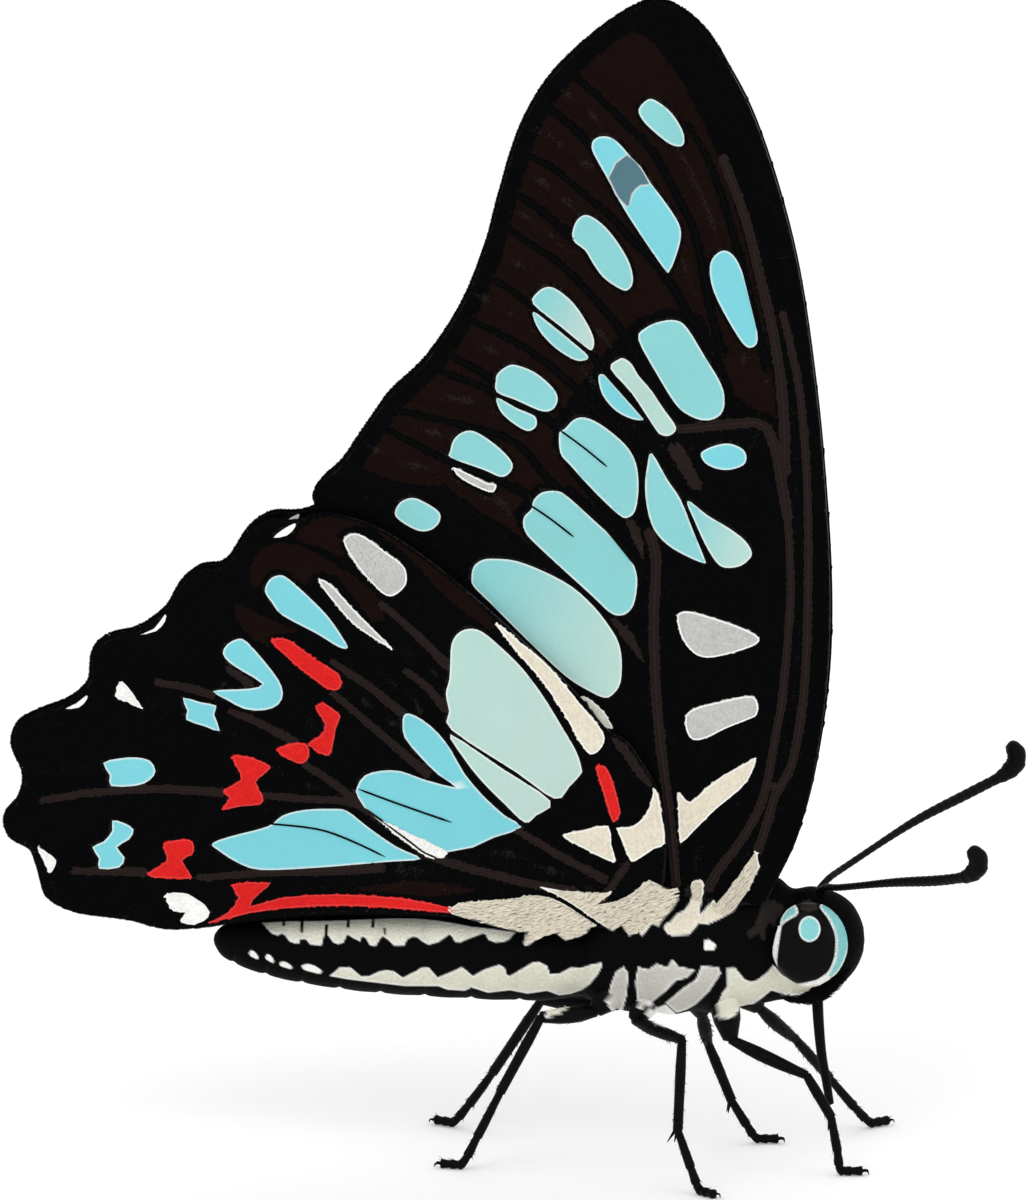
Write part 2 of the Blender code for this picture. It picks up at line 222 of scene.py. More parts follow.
def drawn_in(outline: Rows, by: float) -> Rows:
    """A closed outline moved inwards by a distance.

    Args:
        outline: Its points.
        by: The distance, below zero for outwards.

    Returns:
        The moved points.
    """
    before, after = np.roll(outline, 1, axis=0), np.roll(outline, -1, axis=0)
    run = after - before
    run /= np.maximum(np.linalg.norm(run, axis=1, keepdims=True), 1e-9)
    area = np.sum(outline[:, 0] * after[:, 1] - after[:, 0] * outline[:, 1])
    return outline + by * np.sign(area) * np.stack([-run[:, 1], run[:, 0]], axis=1)


def metres(places: Rows) -> Rows:
    """Places of the animal, in millimetres, as places in the model."""
    return (np.asarray(places, float) + (MIDDLE_SHIFT, 0.0, 0.0)) * MM


def places_of(mesh: Mesh) -> Rows:
    """A mesh's points as places of the animal, in millimetres."""
    return np.array([corner.co for corner in mesh.vertices]) / MM - (MIDDLE_SHIFT, 0, 0)


def unit(rows: Rows) -> Rows:
    """Each row at length one."""
    return rows / np.maximum(np.linalg.norm(rows, axis=1, keepdims=True), 1e-12)


def new_object(name: str, mesh: Mesh, material: Material | None = None) -> Object:
    """Links a mesh as an object with its finish.

    Args:
        name: Its name.
        mesh: The mesh.
        material: Its finish, if it needs one.

    Returns:
        The object.
    """
    thing = bpy.data.objects.new(name, mesh)
    bpy.context.scene.collection.objects.link(thing)
    if material is not None:
        mesh.materials.clear()
        mesh.materials.append(material)
    return thing


def paint(mesh: Mesh, colours: Rows, domain: str = "POINT") -> None:
    """Stores linear colours on a mesh as its tint.

    Args:
        mesh: The mesh.
        colours: One colour for each of its points or corners.
        domain: Whether they are for its points or its corners.
    """
    layer = mesh.attributes.new("tint", "FLOAT_COLOR", domain)
    rows = np.concatenate([colours, np.ones((len(colours), 1))], axis=1)
    layer.data.foreach_set("color", rows.astype(np.float32).ravel())


def store(mesh: Mesh, name: str, kind: str, values: Rows) -> None:
    """Stores one number or vector for each point of a mesh."""
    layer = mesh.attributes.new(name, kind, "POINT")
    layer.data.foreach_set("value" if kind == "FLOAT" else "vector", np.asarray(values, np.float32).ravel())


def evenly(path: Rows, step: float) -> Rows:
    """Points at even steps along a path.

    Args:
        path: The path's points.
        step: About how far apart they are to be.

    Returns:
        The points.
    """
    run = np.concatenate([[0], np.cumsum(np.linalg.norm(np.diff(path, axis=0), axis=1))])
    at = np.linspace(0, run[-1], max(2, round(run[-1] / step) + 1))
    return np.stack([np.interp(at, run, column) for column in path.T], axis=1)


def shell(name: str, rings: Rows, ends: Sequence[Sequence[float]]) -> Mesh:
    """A closed smooth skin over rings of places.

    Args:
        name: The mesh's name.
        rings: The places, in millimetres: one ring after another, each with as many points.
        ends: The point that closes the first ring, and the one that closes the last.

    Returns:
        A mesh, in metres, with its faces outwards.
    """
    count, sides, _ = rings.shape
    faces = []
    for ring in range(count - 1):
        for i in range(sides):
            a, b = ring * sides + i, ring * sides + (i + 1) % sides
            faces.append((a, a + sides, b + sides, b))
    first, last = count * sides, (count - 1) * sides
    for i in range(sides):
        j = (i + 1) % sides
        faces += [(first, i, j), (first + 1, last + j, last + i)]
    mesh = bpy.data.meshes.new(name)
    mesh.from_pydata(metres(np.concatenate([rings.reshape(-1, 3), ends])).tolist(), [], faces)
    shape = bmesh.new()
    shape.from_mesh(mesh)
    bmesh.ops.recalc_face_normals(shape, faces=shape.faces)
    shape.to_mesh(mesh)
    shape.free()
    for polygon in mesh.polygons:
        polygon.use_smooth = True
    return mesh


def sleeve(path: Rows, radii: Rows, sides: int, squeeze: float = 1.0) -> Mesh:
    """A closed round skin along a path.

    Args:
        path: Its middle line, in millimetres.
        radii: Its radius at each point of the path.
        sides: How many faces go round it.
        squeeze: Its width over its height, across the path.

    Returns:
        A smooth mesh, in metres, with its faces outwards.
    """
    along = unit(np.gradient(path, axis=0))
    across = np.cross(along[0], (0.0, 1.0, 0.0) if abs(along[0][1]) < 0.8 else (1.0, 0.0, 0.0))
    angles = np.arange(sides) * (2 * math.pi / sides)
    rings = []
    for middle, way, radius in zip(path, along, radii):
        across = across - way * (across @ way)
        across = across / np.linalg.norm(across)
        other = squeeze * np.cross(way, across)
        rings.append(middle + radius * (np.outer(np.cos(angles), across) + np.outer(np.sin(angles), other)))
    ends = (path[0] - along[0] * radii[0] * 0.4, path[-1] + along[-1] * radii[-1] * 0.4)
    return shell("sleeve", np.array(rings), ends)


def strewn(path: Rows, radii: Rows, count: int, aside: Place, chance: Chance) -> tuple[Rows, ...]:
    """Strews roots over the round skin of a path.

    Args:
        path: The skin's middle line.
        radii: Its radius at each point of the path.
        count: How many roots there are.
        aside: A way that the path never takes.
        chance: Where the random draws come from.

    Returns:
        One row for each root: the middle and the radius there, the ways along and outwards, the place on
        the path, and the angle round it.
    """
    share = chance.random(count) * (len(path) - 1.001)
    low = share.astype(int)
    step = path[low + 1] - path[low]
    along = unit(step)
    angle = chance.random(count) * 2 * math.pi
    first = unit(np.cross(along, aside))
    out = np.cos(angle)[:, None] * first + np.sin(angle)[:, None] * np.cross(along, first)
    return path[low] + (share - low)[:, None] * step, radii[low, None], along, out, share, angle


def bearing(tilt: Rows, turn: Rows) -> Rows:
    """Ways at a tilt from +Y and a turn about it."""
    return np.stack([np.sin(tilt) * np.cos(turn), np.cos(tilt), np.sin(tilt) * np.sin(turn)], axis=-1)


def joined(name: str, meshes: Sequence[Mesh], material: Material) -> Object:
    """Several meshes as one object, which takes them over.

    Args:
        name: Its name.
        meshes: The meshes.
        material: The finish.

    Returns:
        The object.
    """
    shape = bmesh.new()
    for mesh in meshes:
        shape.from_mesh(mesh)
        bpy.data.meshes.remove(mesh)
    whole = bpy.data.meshes.new(name)
    shape.to_mesh(whole)
    shape.free()
    return new_object(name, whole, material)


def seat(thing: Object, slot: str, *nodes: str) -> Object:
    """Puts a finished piece on the body and hides the solids that it stands for.

    Args:
        thing: The piece.
        slot: What its finish is called in the model; not used.
        *nodes: The solids that it stands for.

    Returns:
        The same piece.
    """
    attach(thing, BODY)
    if nodes:
        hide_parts(*nodes)
    LOG.info("%s: %d triangles", thing.name, sum(len(face.vertices) - 2 for face in thing.data.polygons))
    return thing


# --- node trees


class Nodes:
    """Adds nodes to one node tree."""

    def __init__(self, tree: NodeTree) -> None:
        """Keeps the tree that the nodes go into."""
        self.tree = tree

    def node(self, kind: str, settings: dict[str, object] | None = None, **wires: Wire) -> Node:
        """Adds a node.

        Args:
            kind: The node's type.
            settings: Its own settings, which are set first.
            **wires: A value or link for each socket: its name with "_" for a space, or "i" and its place.

        Returns:
            The new node.
        """
        made = self.tree.nodes.new(kind)
        for name, value in (settings or {}).items():
            setattr(made, name, value)
        for name, value in wires.items():
            place = int(name[1:]) if name[0] == "i" and name[1:].isdigit() else name.replace("_", " ")
            socket = made.inputs[place]
            value = value.socket if isinstance(value, Value) else value
            if isinstance(value, NodeSocket):
                self.tree.links.new(value, socket)
            else:
                socket.default_value = value
        return made


class Value:
    """A number that varies over a surface: a socket whose arithmetic adds Math nodes."""

    def __init__(self, nodes: Nodes, socket: NodeSocket) -> None:
        """Keeps the socket and the tree that it is in."""
        self.nodes = nodes
        self.socket = socket

    def math(self, operation: str, first: Wire, second: Wire) -> Value:
        """The result of one Math node."""
        made = self.nodes.node("ShaderNodeMath", {"operation": operation}, i0=first, i1=second)
        return Value(self.nodes, made.outputs[0])

    def __add__(self, other: Wire) -> Value:
        """Sum."""
        return self.math("ADD", self, other)

    __radd__ = __add__

    def __rsub__(self, other: Wire) -> Value:
        """Difference from a plain number."""
        return self.math("SUBTRACT", other, self)

    def __mul__(self, other: Wire) -> Value:
        """Product."""
        return self.math("MULTIPLY", self, other)

    __rmul__ = __mul__


class Shade(Nodes):
    """Builds one material around a Principled shader."""

    def __init__(self, name: str, **constants: float) -> None:
        """Starts a material and sets what is the same all over it, by socket name.

        Args:
            name: Its name.
            **constants: A number for each socket, with "_" for a space in its name.
        """
        self.material = bpy.data.materials.new(name)
        self.material.use_nodes = True
        super().__init__(self.material.node_tree)
        self.shader = self.tree.nodes["Principled BSDF"]
        for socket, value in constants.items():
            self.shader.inputs[socket.replace("_", " ")].default_value = value
        self.place = self.node("ShaderNodeTexCoord").outputs["Object"]

    def tint(self) -> NodeSocket:
        """The colour stored on the mesh."""
        return self.node("ShaderNodeAttribute", {"attribute_name": "tint"}).outputs["Color"]

    def noise(self, scale: float, detail: float = 2.0) -> Value:
        """Noise about one half, with so many features to a metre."""
        made = self.node("ShaderNodeTexNoise", None, Vector=self.place, Scale=scale, Detail=detail)
        return Value(self, made.outputs[0])

    def cells(self, scale: float) -> Value:
        """Distance from the middle of the nearest cell."""
        made = self.node("ShaderNodeTexVoronoi", None, Vector=self.place, Scale=scale)
        return Value(self, made.outputs[0])

    def mix(self, factor: Wire, first: Wire, second: Wire, blend: str = "MIX") -> NodeSocket:
        """Two colours mixed."""
        settings = {"data_type": "RGBA", "blend_type": blend}
        return self.node("ShaderNodeMix", settings, i0=factor, i6=first, i7=second).outputs[2]

    def shaded(self, colour: NodeSocket, by: Value) -> NodeSocket:
        """A colour made lighter or darker by a number about one."""
        grey = self.node("ShaderNodeCombineColor", None, Red=by, Green=by, Blue=by)
        return self.mix(1.0, colour, grey.outputs[0], "MULTIPLY")

    def bump(self, height: Value, depth: float) -> NodeSocket:
        """A relief so many metres deep."""
        return self.node("ShaderNodeBump", None, Height=height, Distance=depth).outputs[0]

    def finish(self, colour: Wire, roughness: Wire, normal: Wire = None, coat: Wire = None) -> Material:
        """Joins what varies to the shader and gives the material.

        Args:
            colour: Its colour.
            roughness: Its roughness.
            normal: Its relief, if any.
            coat: Its share of clear gloss, if any.

        Returns:
            The finished material.
        """
        wires = {"Base Color": colour, "Roughness": roughness, "Normal": normal, "Coat Weight": coat}
        for name, wire in wires.items():
            if wire is not None:
                wire = wire.socket if isinstance(wire, Value) else wire
                self.tree.links.new(wire, self.shader.inputs[name])
        return self.material


class ShapeTree(Nodes):
    """A Geometry Nodes tree with named inputs."""

    def __init__(self, name: str) -> None:
        """Starts a tree that takes a mesh and gives one.

        Args:
            name: Its name.
        """
        super().__init__(bpy.data.node_groups.new(name, "GeometryNodeTree"))
        self.tree.interface.new_socket("Geometry", in_out="INPUT", socket_type="NodeSocketGeometry")
        self.tree.interface.new_socket("Geometry", in_out="OUTPUT", socket_type="NodeSocketGeometry")
        self.source = self.tree.nodes.new("NodeGroupInput")

    def input(self, name: str, kind: str) -> NodeSocket:
        """Adds a named input of a socket type such as Float, Int, Object or Material."""
        self.tree.interface.new_socket(name, in_out="INPUT", socket_type="NodeSocket" + kind)
        return self.source.outputs[name]

    def stored(self, name: str, kind: str = "FLOAT_VECTOR") -> NodeSocket:
        """Reads a value stored on the points."""
        return self.node("GeometryNodeInputNamedAttribute", {"data_type": kind}, Name=name).outputs[0]

    def vector(self, operation: str, **wires: Wire) -> NodeSocket:
        """The result of one Vector Math node."""
        return self.node("ShaderNodeVectorMath", {"operation": operation}, **wires).outputs[0]

    def end(self, geometry: NodeSocket) -> None:
        """Ends the tree in realized instances with their material.

        Args:
            geometry: What the tree has made.
        """
        real = self.node("GeometryNodeRealizeInstances", None, Geometry=geometry).outputs[0]
        finish = self.input("Material", "Material")
        dressed = self.node("GeometryNodeSetMaterial", None, Geometry=real, Material=finish)
        sink = self.tree.nodes.new("NodeGroupOutput")
        self.tree.links.new(dressed.outputs[0], sink.inputs[0])

    def grow(self, name: str, seeds: Mesh, inputs: dict[str, object], keep: Sequence[str]) -> Object:
        """Runs the tree on a mesh.

        Args:
            name: The finished object's name.
            seeds: The mesh that the tree starts from, which is used up.
            inputs: A value for each named input.
            keep: The stored values that the finished mesh keeps.

        Returns:
            A plain mesh object.
        """
        starter = new_object(name + "_seeds", seeds)
        modifier = starter.modifiers.new("grow", "NODES")
        modifier.node_group = self.tree
        for item in self.tree.interface.items_tree:
            if item.name in inputs:
                modifier[item.identifier] = inputs[item.name]
        bpy.context.view_layer.update()
        mesh = bpy.data.meshes.new_from_object(starter.evaluated_get(bpy.context.evaluated_depsgraph_get()))
        mesh.name = name
        own = [layer.name for layer in mesh.attributes if not (layer.is_internal or layer.is_required)]
        for layer in own:
            if layer not in keep:
                mesh.attributes.remove(mesh.attributes[layer])
        starter.modifiers.remove(modifier)
        bpy.data.objects.remove(starter)
        bpy.data.meshes.remove(seeds)
        return new_object(name, mesh)


# --- finishes


@dataclass(frozen=True)
class Membrane:
    """Wing membrane: satin and a little wrinkled, tinted by pigment, dusted with stray scales."""

    name: str = "wing_membrane"
    wrinkle: float = 0.000012
    dust: float = 9000.0
    roughness: float = 0.42

    def material(self) -> Material:
        """Builds the finish.

        Returns:
            The material.
        """
        shade = Shade(self.name, **{"Specular IOR Level": 0.12})
        cloud, grain = shade.noise(260.0, 4.0), shade.noise(self.dust, 3.0)
        colour = shade.shaded(shade.tint(), 0.86 + 0.16 * cloud + 0.12 * grain)
        relief = shade.noise(1500.0, 3.0) + 0.5 * shade.noise(5200.0)
        return shade.finish(colour, self.roughness - 0.08 + 0.2 * grain, shade.bump(relief, self.wrinkle))


@dataclass(frozen=True)
class ScaleDust:
    """Wing scales: matt, finely ridged, each a little different from its neighbour."""

    name: str
    roughness: float = 0.66
    shine: float = 0.02
    ridge: float = 0.000006

    def material(self) -> Material:
        """Builds the finish.

        Returns:
            The material.
        """
        shade = Shade(self.name, **{"Specular IOR Level": self.shine})
        broad, fine = shade.noise(320.0, 3.0), shade.noise(14000.0)
        colour = shade.shaded(shade.tint(), 0.86 + 0.16 * broad + 0.14 * fine)
        return shade.finish(colour, self.roughness - 0.1 + 0.2 * fine, shade.bump(fine, self.ridge))


@dataclass(frozen=True)
class Fur:
    """Hair of the body: soft, lighter towards the light, with a faint sheen."""

    name: str
    roughness: float = 0.62
    sheen: float = 0.02
    shine: float = 0.03

    def material(self) -> Material:
        """Builds the finish.

        Returns:
            The material.
        """
        constants = {"Sheen Weight": self.sheen, "Sheen Roughness": 0.5, "Specular IOR Level": self.shine}
        shade = Shade(self.name, **constants)
        broad, fine = shade.noise(500.0, 3.0), shade.noise(9000.0)
        colour = shade.shaded(shade.tint(), 0.76 + 0.24 * broad + 0.24 * fine)
        return shade.finish(colour, self.roughness - 0.1 + 0.2 * fine)


@dataclass(frozen=True)
class Hide:
    """Skin under the fur: dark and grained, with short flat scales as relief."""

    name: str
    grain: float = 9000.0
    depth: float = 0.00003
    roughness: float = 0.6
    shine: float = 0.03

    def material(self) -> Material:
        """Builds the finish.

        Returns:
            The material.
        """
        shade = Shade(self.name, **{"Specular IOR Level": self.shine})
        lie, broad = shade.cells(self.grain), shade.noise(700.0, 3.0)
        colour = shade.shaded(shade.tint(), 0.72 + 0.3 * broad + 0.2 * lie)
        return shade.finish(colour, self.roughness - 0.08 + 0.2 * broad, shade.bump(1 - lie, self.depth))


@dataclass(frozen=True)
class Facets:
    """A compound eye: polished, with its thousands of facets as relief."""

    name: str = "eye_facets"
    facet: float = 17000.0
    depth: float = 0.000008

    def material(self) -> Material:
        """Builds the finish.

        Returns:
            The material.
        """
        shade = Shade(self.name, **{"Specular IOR Level": 0.05, "Coat Roughness": 0.06})
        cell, cloud = shade.cells(self.facet), shade.noise(900.0, 3.0)
        colour = shade.shaded(shade.tint(), 0.75 + 0.3 * cloud + 0.3 * cell)
        relief = shade.bump(1 - cell, self.depth)
        return shade.finish(colour, 0.28 + 0.14 * cloud, relief, 0.01 + 0.03 * cloud)


@dataclass(frozen=True)
class Horn:
    """Hard cuticle of legs, feelers, tongue and veins: dark, with a low gloss and a fine grain."""

    name: str
    roughness: float = 0.46
    shine: float = 0.06
    grain: float = 5200.0
    depth: float = 0.00001

    def material(self) -> Material:
        """Builds the finish.

        Returns:
            The material.
        """
        shade = Shade(self.name, **{"Specular IOR Level": self.shine})
        broad, fine = shade.noise(650.0, 3.0), shade.noise(self.grain, 3.0)
        colour = shade.shaded(shade.tint(), 0.7 + 0.4 * broad + 0.2 * fine)
        return shade.finish(colour, self.roughness - 0.1 + 0.25 * fine, shade.bump(fine, self.depth))


@dataclass(frozen=True)
class PalePaper:
    """The floor: plain and nearly white."""

    name: str = "pale_floor"
    light: Place = (0.965, 0.965, 0.96)
    shade: Place = (0.94, 0.94, 0.935)
    glow: float = 0.11

    def material(self) -> Material:
        """Builds the finish.

        Returns:
            The material.
        """
        shade = Shade(self.name, **{"Specular IOR Level": 0.05, "Emission Strength": self.glow})
        colour = shade.mix(shade.noise(14.0), (*self.light, 1.0), (*self.shade, 1.0))
        return shade.finish(colour, 0.85 + 0.1 * shade.noise(60.0))


# --- coat


@dataclass(frozen=True)
class TuftShape:
    """One scale or one lock of hair, a unit long and wide, lying along +Y with +Z outwards.

    Each row of blades is a list of stations: how far along, half width, and height off the skin.
    """

    name: str
    stations: tuple[tuple[float, float, float], ...]
    fan: tuple[float, ...] = (0.0,)

    def build(self) -> Object:
        """Builds the shape with its place on the patch stored as "local".

        Returns:
            The shape as an object for the tree to repeat.
        """
        corners, faces, local = [], [], []
        for turn in self.fan:
            start = len(corners)
            reach = 1.0 - 0.25 * abs(turn)
            for along, half, high in self.stations:
                for across in (-half, half) if half > 0 else (0.0,):
                    x, y = across, along * reach
                    corners.append((x * math.cos(turn) + y * math.sin(turn), y * math.cos(turn), high))
                    local.append((0.5 + across, along, 0.0))
            full = sum(1 for station in self.stations if station[1] > 0)
            for i in range(full - 1):
                a = start + 2 * i
                faces.append((a, a + 1, a + 3, a + 2))
            if full < len(self.stations):
                tip = start + 2 * full
                faces.append((tip - 2, tip - 1, tip))
        mesh = bpy.data.meshes.new(self.name)
        mesh.from_pydata(corners, [], faces)
        for face in mesh.polygons:
            face.use_smooth = True
        store(mesh, "local", "FLOAT_VECTOR", np.array(local))
        thing = bpy.data.objects.new(self.name, mesh)
        bpy.context.scene.collection.objects.link(thing)
        return thing


SCALE = TuftShape("scale", ((0.0, 0.3, 0.0), (0.65, 0.5, 0.05), (1.05, 0.0, 0.0)))
HAIR = TuftShape("hair", ((0.0, 0.5, 0.0), (0.5, 0.4, 0.1), (1.0, 0.0, 0.06)), (-0.2, 0.16))
SPINE = TuftShape("spine", ((0.0, 0.5, 0.0), (0.5, 0.35, 0.03), (1.0, 0.0, 0.0)))


@dataclass
class Roots:
    """Where tufts stand on a skin: places and ways as rows, in millimetres, with their sizes and colours."""

    place: Rows
    lie: Rows
    out: Rows
    length: Rows
    width: Rows
    tint: Rows
    unwrap: Rows

    def picked(self, chosen: Rows) -> Roots:
        """The chosen tufts alone."""
        return Roots(*(getattr(self, name)[chosen] for name in self.__dataclass_fields__))

    def seeds(self) -> Mesh:
        """A mesh of points that carries all of this.

        Returns:
            The mesh, without edges or faces.
        """
        mesh = bpy.data.meshes.new("seeds")
        mesh.vertices.add(len(self.place))
        mesh.vertices.foreach_set("co", metres(self.place).astype(np.float32).ravel())
        store(mesh, "lie", "FLOAT_VECTOR", self.lie)
        store(mesh, "out", "FLOAT_VECTOR", self.out)
        store(mesh, "length", "FLOAT", self.length * MM)
        store(mesh, "width", "FLOAT", self.width * MM)
        flat = np.concatenate([self.unwrap, np.zeros((len(self.unwrap), 1))], axis=1)
        store(mesh, "root", "FLOAT_VECTOR", flat)
        paint(mesh, self.tint)
        return mesh


class Coat:
    """Grows scales or locks of hair at their roots, each a patch of its own on the skin's unwrap."""

    def __init__(self) -> None:
        """Builds the tree and the tuft shapes once."""
        self.shapes = {shape.name: shape.build() for shape in (SCALE, HAIR, SPINE)}
        self.tree = self.build_tree()

    @staticmethod
    def build_tree() -> ShapeTree:
        """The tree: tufts on points, turned along their lie, ruffled, realized and unwrapped.

        Returns:
            The tree, with the inputs that grow gives it.
        """
        tree = ShapeTree("coat")
        tuft, lift = tree.input("Tuft", "Object"), tree.input("Lift", "Float")
        ruffle, seed = tree.input("Ruffle", "Float"), tree.input("Seed", "Int")
        patch = tree.input("Patch", "Float")
        shape = tree.node("GeometryNodeObjectInfo", None, Object=tuft, As_Instance=True)
        axes = {"primary_axis": "Z", "secondary_axis": "Y"}
        wires = {"Primary Axis": tree.stored("out"), "Secondary Axis": tree.stored("lie")}
        lying = tree.node("FunctionNodeAxesToRotation", axes, **wires)
        most = tree.node("ShaderNodeCombineXYZ", None, X=ruffle, Y=ruffle, Z=ruffle).outputs[0]
        least = tree.vector("SCALE", Vector=most, Scale=-1.0)
        kind = {"data_type": "FLOAT_VECTOR"}
        jitter = tree.node("FunctionNodeRandomValue", kind, i0=least, i1=most, Seed=seed).outputs[0]
        raised = tree.node("ShaderNodeCombineXYZ", None, X=lift).outputs[0]
        turn = tree.vector("ADD", i0=jitter, i1=raised)
        euler = tree.node("FunctionNodeEulerToRotation", None, Euler=turn)
        wires = {"Rotation": lying.outputs[0], "Rotate By": euler.outputs[0]}
        turned = tree.node("FunctionNodeRotateRotation", {"rotation_space": "LOCAL"}, **wires)
        length = tree.stored("length", "FLOAT")
        size = tree.node("ShaderNodeCombineXYZ", None, X=tree.stored("width", "FLOAT"), Y=length, Z=length)
        wires = {"Points": tree.source.outputs[0], "Instance": shape.outputs["Geometry"]}
        wires |= {"Rotation": turned.outputs[0], "Scale": size.outputs[0]}
        placed = tree.node("GeometryNodeInstanceOnPoints", None, **wires)
        real = tree.node("GeometryNodeRealizeInstances", None, Geometry=placed.outputs[0])
        spread = tree.vector("SCALE", Vector=tree.stored("local"), Scale=patch)
        spot = tree.vector("ADD", i0=tree.stored("root"), i1=spread)
        kind = {"data_type": "FLOAT2", "domain": "CORNER"}
        wires = {"Geometry": real.outputs[0], "Name": PATCH_MAP, "Value": spot}
        tree.end(tree.node("GeometryNodeStoreNamedAttribute", kind, **wires).outputs[0])
        return tree

    def grow(self, name: str, shape: TuftShape, roots: Roots, material: Material,
             lift: float, ruffle: float, seed: int) -> Object:
        """Grows one piece of coat.

        Args:
            name: The piece's name.
            shape: The tuft that is repeated.
            roots: Where the tufts stand.
            material: Their finish.
            lift: How far their tips are raised, in radians.
            ruffle: How unevenly they lie, in radians.
            seed: What the unevenness starts from.

        Returns:
            The piece as a plain mesh.
        """
        inputs = {"Tuft": self.shapes[shape.name], "Lift": lift, "Ruffle": ruffle, "Seed": seed}
        inputs |= {"Patch": PATCH_SIZE, "Material": material}
        return self.tree.grow(name, roots.seeds(), inputs, ("tint", PATCH_MAP, "position", "material_index"))

    def put_away(self) -> None:
        """Removes the loose tuft shapes once every coat is grown."""
        for thing in self.shapes.values():
            mesh = thing.data
            bpy.data.objects.remove(thing)
            bpy.data.meshes.remove(mesh)


# --- wing pattern


@dataclass(frozen=True)
class Mark:
    """A patch of one colour on a wing or the body, in the side chart.

    A clear mark is bare membrane that shows from both faces; the others are scales.
    """

    tint: Tint
    points: tuple[Spot, ...]
    clear: bool = False
    fade: Tint | None = None
    steps: int = 3

    @property
    def outline(self) -> Rows:
        """The mark's edge as a closed smooth line."""
        return spline(self.points, self.steps, closed=True)

    def colours(self, spots: Rows) -> Rows:
        """The mark's colour at each spot, which fades forwards where the mark has a second one.

        Args:
            spots: Spots of the chart.

        Returns:
            One colour for each spot.
        """
        first = self.tint.linear
        if self.fade is None:
            return np.tile(first, (len(spots), 1))
        ends = [point[0] - 0.4 * point[1] for point in self.points]
        share = ease((spots[:, 0] - 0.4 * spots[:, 1] - min(ends)) / (max(ends) - min(ends)))
        return first + share[:, None] * (self.fade.linear - first)


def spots_of(*numbers: float) -> tuple[Spot, ...]:
    """Spots of the chart from plain numbers, along and up by turns."""
    return tuple(zip(numbers[::2], numbers[1::2]))


def window(tint: Tint, *numbers: float, fade: Tint | None = None, steps: int = 3) -> Mark:
    """A clear patch of the membrane, by its edge's numbers."""
    return Mark(tint, spots_of(*numbers), True, fade, steps)


def patch(tint: Tint, *numbers: float, steps: int = 3) -> Mark:
    """A patch of coloured scales, by its edge's numbers."""
    return Mark(tint, spots_of(*numbers), steps=steps)


@dataclass(frozen=True)
class Vein:
    """A vein: a raised rib along a path of the chart, with a stripe of its own colour."""

    tint: Tint
    start_width: float
    end_width: float
    points: tuple[Spot, ...]
    rib: float = 0.07

    @property
    def path(self) -> Rows:
        """The rib's middle line."""
        return spline(self.points, 4)


def veins(tint: Tint, start: float, end: float, *paths: tuple, rib: float = 0.07) -> tuple[Vein, ...]:
    """Several veins of one colour and width, each by its path's numbers."""
    return tuple(Vein(tint, start, end, spots_of(*path), rib) for path in paths)


# fmt: off
FOREWING_COSTA = spots_of(
    11.3, 11.4, 11.85, 12.5, 12.82, 14.6, 13.55, 17.6, 14.1, 21.5, 14.23, 25.5, 14.02, 30, 13.6, 34.5, 12.83,
    39.8, 11.77, 44, 10.45, 47.6, 8.87, 50.2, 7.6, 51.5, 6.3, 52.05
)
FOREWING_MARGIN = spots_of(
    5, 51.63, 3.13, 50.3, 1.34, 48.5, 0.1, 46.35, -0.75, 43.7, -1.45, 41.1, -2.53, 38.45, -4.1, 36.05, -5.7,
    34.5, -6.8, 33, -7.9, 31.4, -8.8, 30.6
)
FOREWING_DORSUM = spots_of(-9.25, 29.8, -8.6, 28.6, -5.5, 26, -1.5, 22.3, 2.5, 18.2, 5.2, 14.8, 6.4, 12.6)
FOREWING_ROOT = (7.8, 11.2)
HINDWING_COSTA = spots_of(
    5.9, 10.9, 6.7, 12.2, 6.85, 13.2, 6.88, 14.3, 6.8, 15.3, 6.62, 16.2, 6.35, 17, 5.75, 18, 5.05, 18.95,
    4.25, 19.4, 3.7, 20, 3.1, 20.75, 2.1, 21.8, 0, 23.8, -2, 25.6, -4.1, 27.3, -6.4, 28.7, -8.5, 29.2
)
HINDWING_LOBES = spots_of(
    -9.9, 28.85, -11.2, 28.8, -12.2, 28.15, -13.18, 26.79, -14.28, 26.59, -15.18, 25.89, -15.88, 24.74,
    -17.08, 23.89, -18.38, 23.54, -19.13, 22.89, -19.33, 21.54, -20.18, 20.69, -21.58, 20.14, -22.58, 19.54,
    -22.78, 18.64, -22.28, 17.34, -22.53, 16.24, -23.13, 15.44, -22.88, 14.49, -21.98, 13.94
)
HINDWING_INNER_MARGIN = spots_of(
    -21.6, 13, -21.2, 11.8, -19.9, 11.1, -17.5, 10.75, -15.9, 10.35, -14.2, 10.4, -12.2, 10.7, -9.5, 10.95,
    -6, 11, -2.5, 10.75, 0.5, 10.45, 3, 10.35
)
HINDWING_ROOT = (4.6, 10.3)

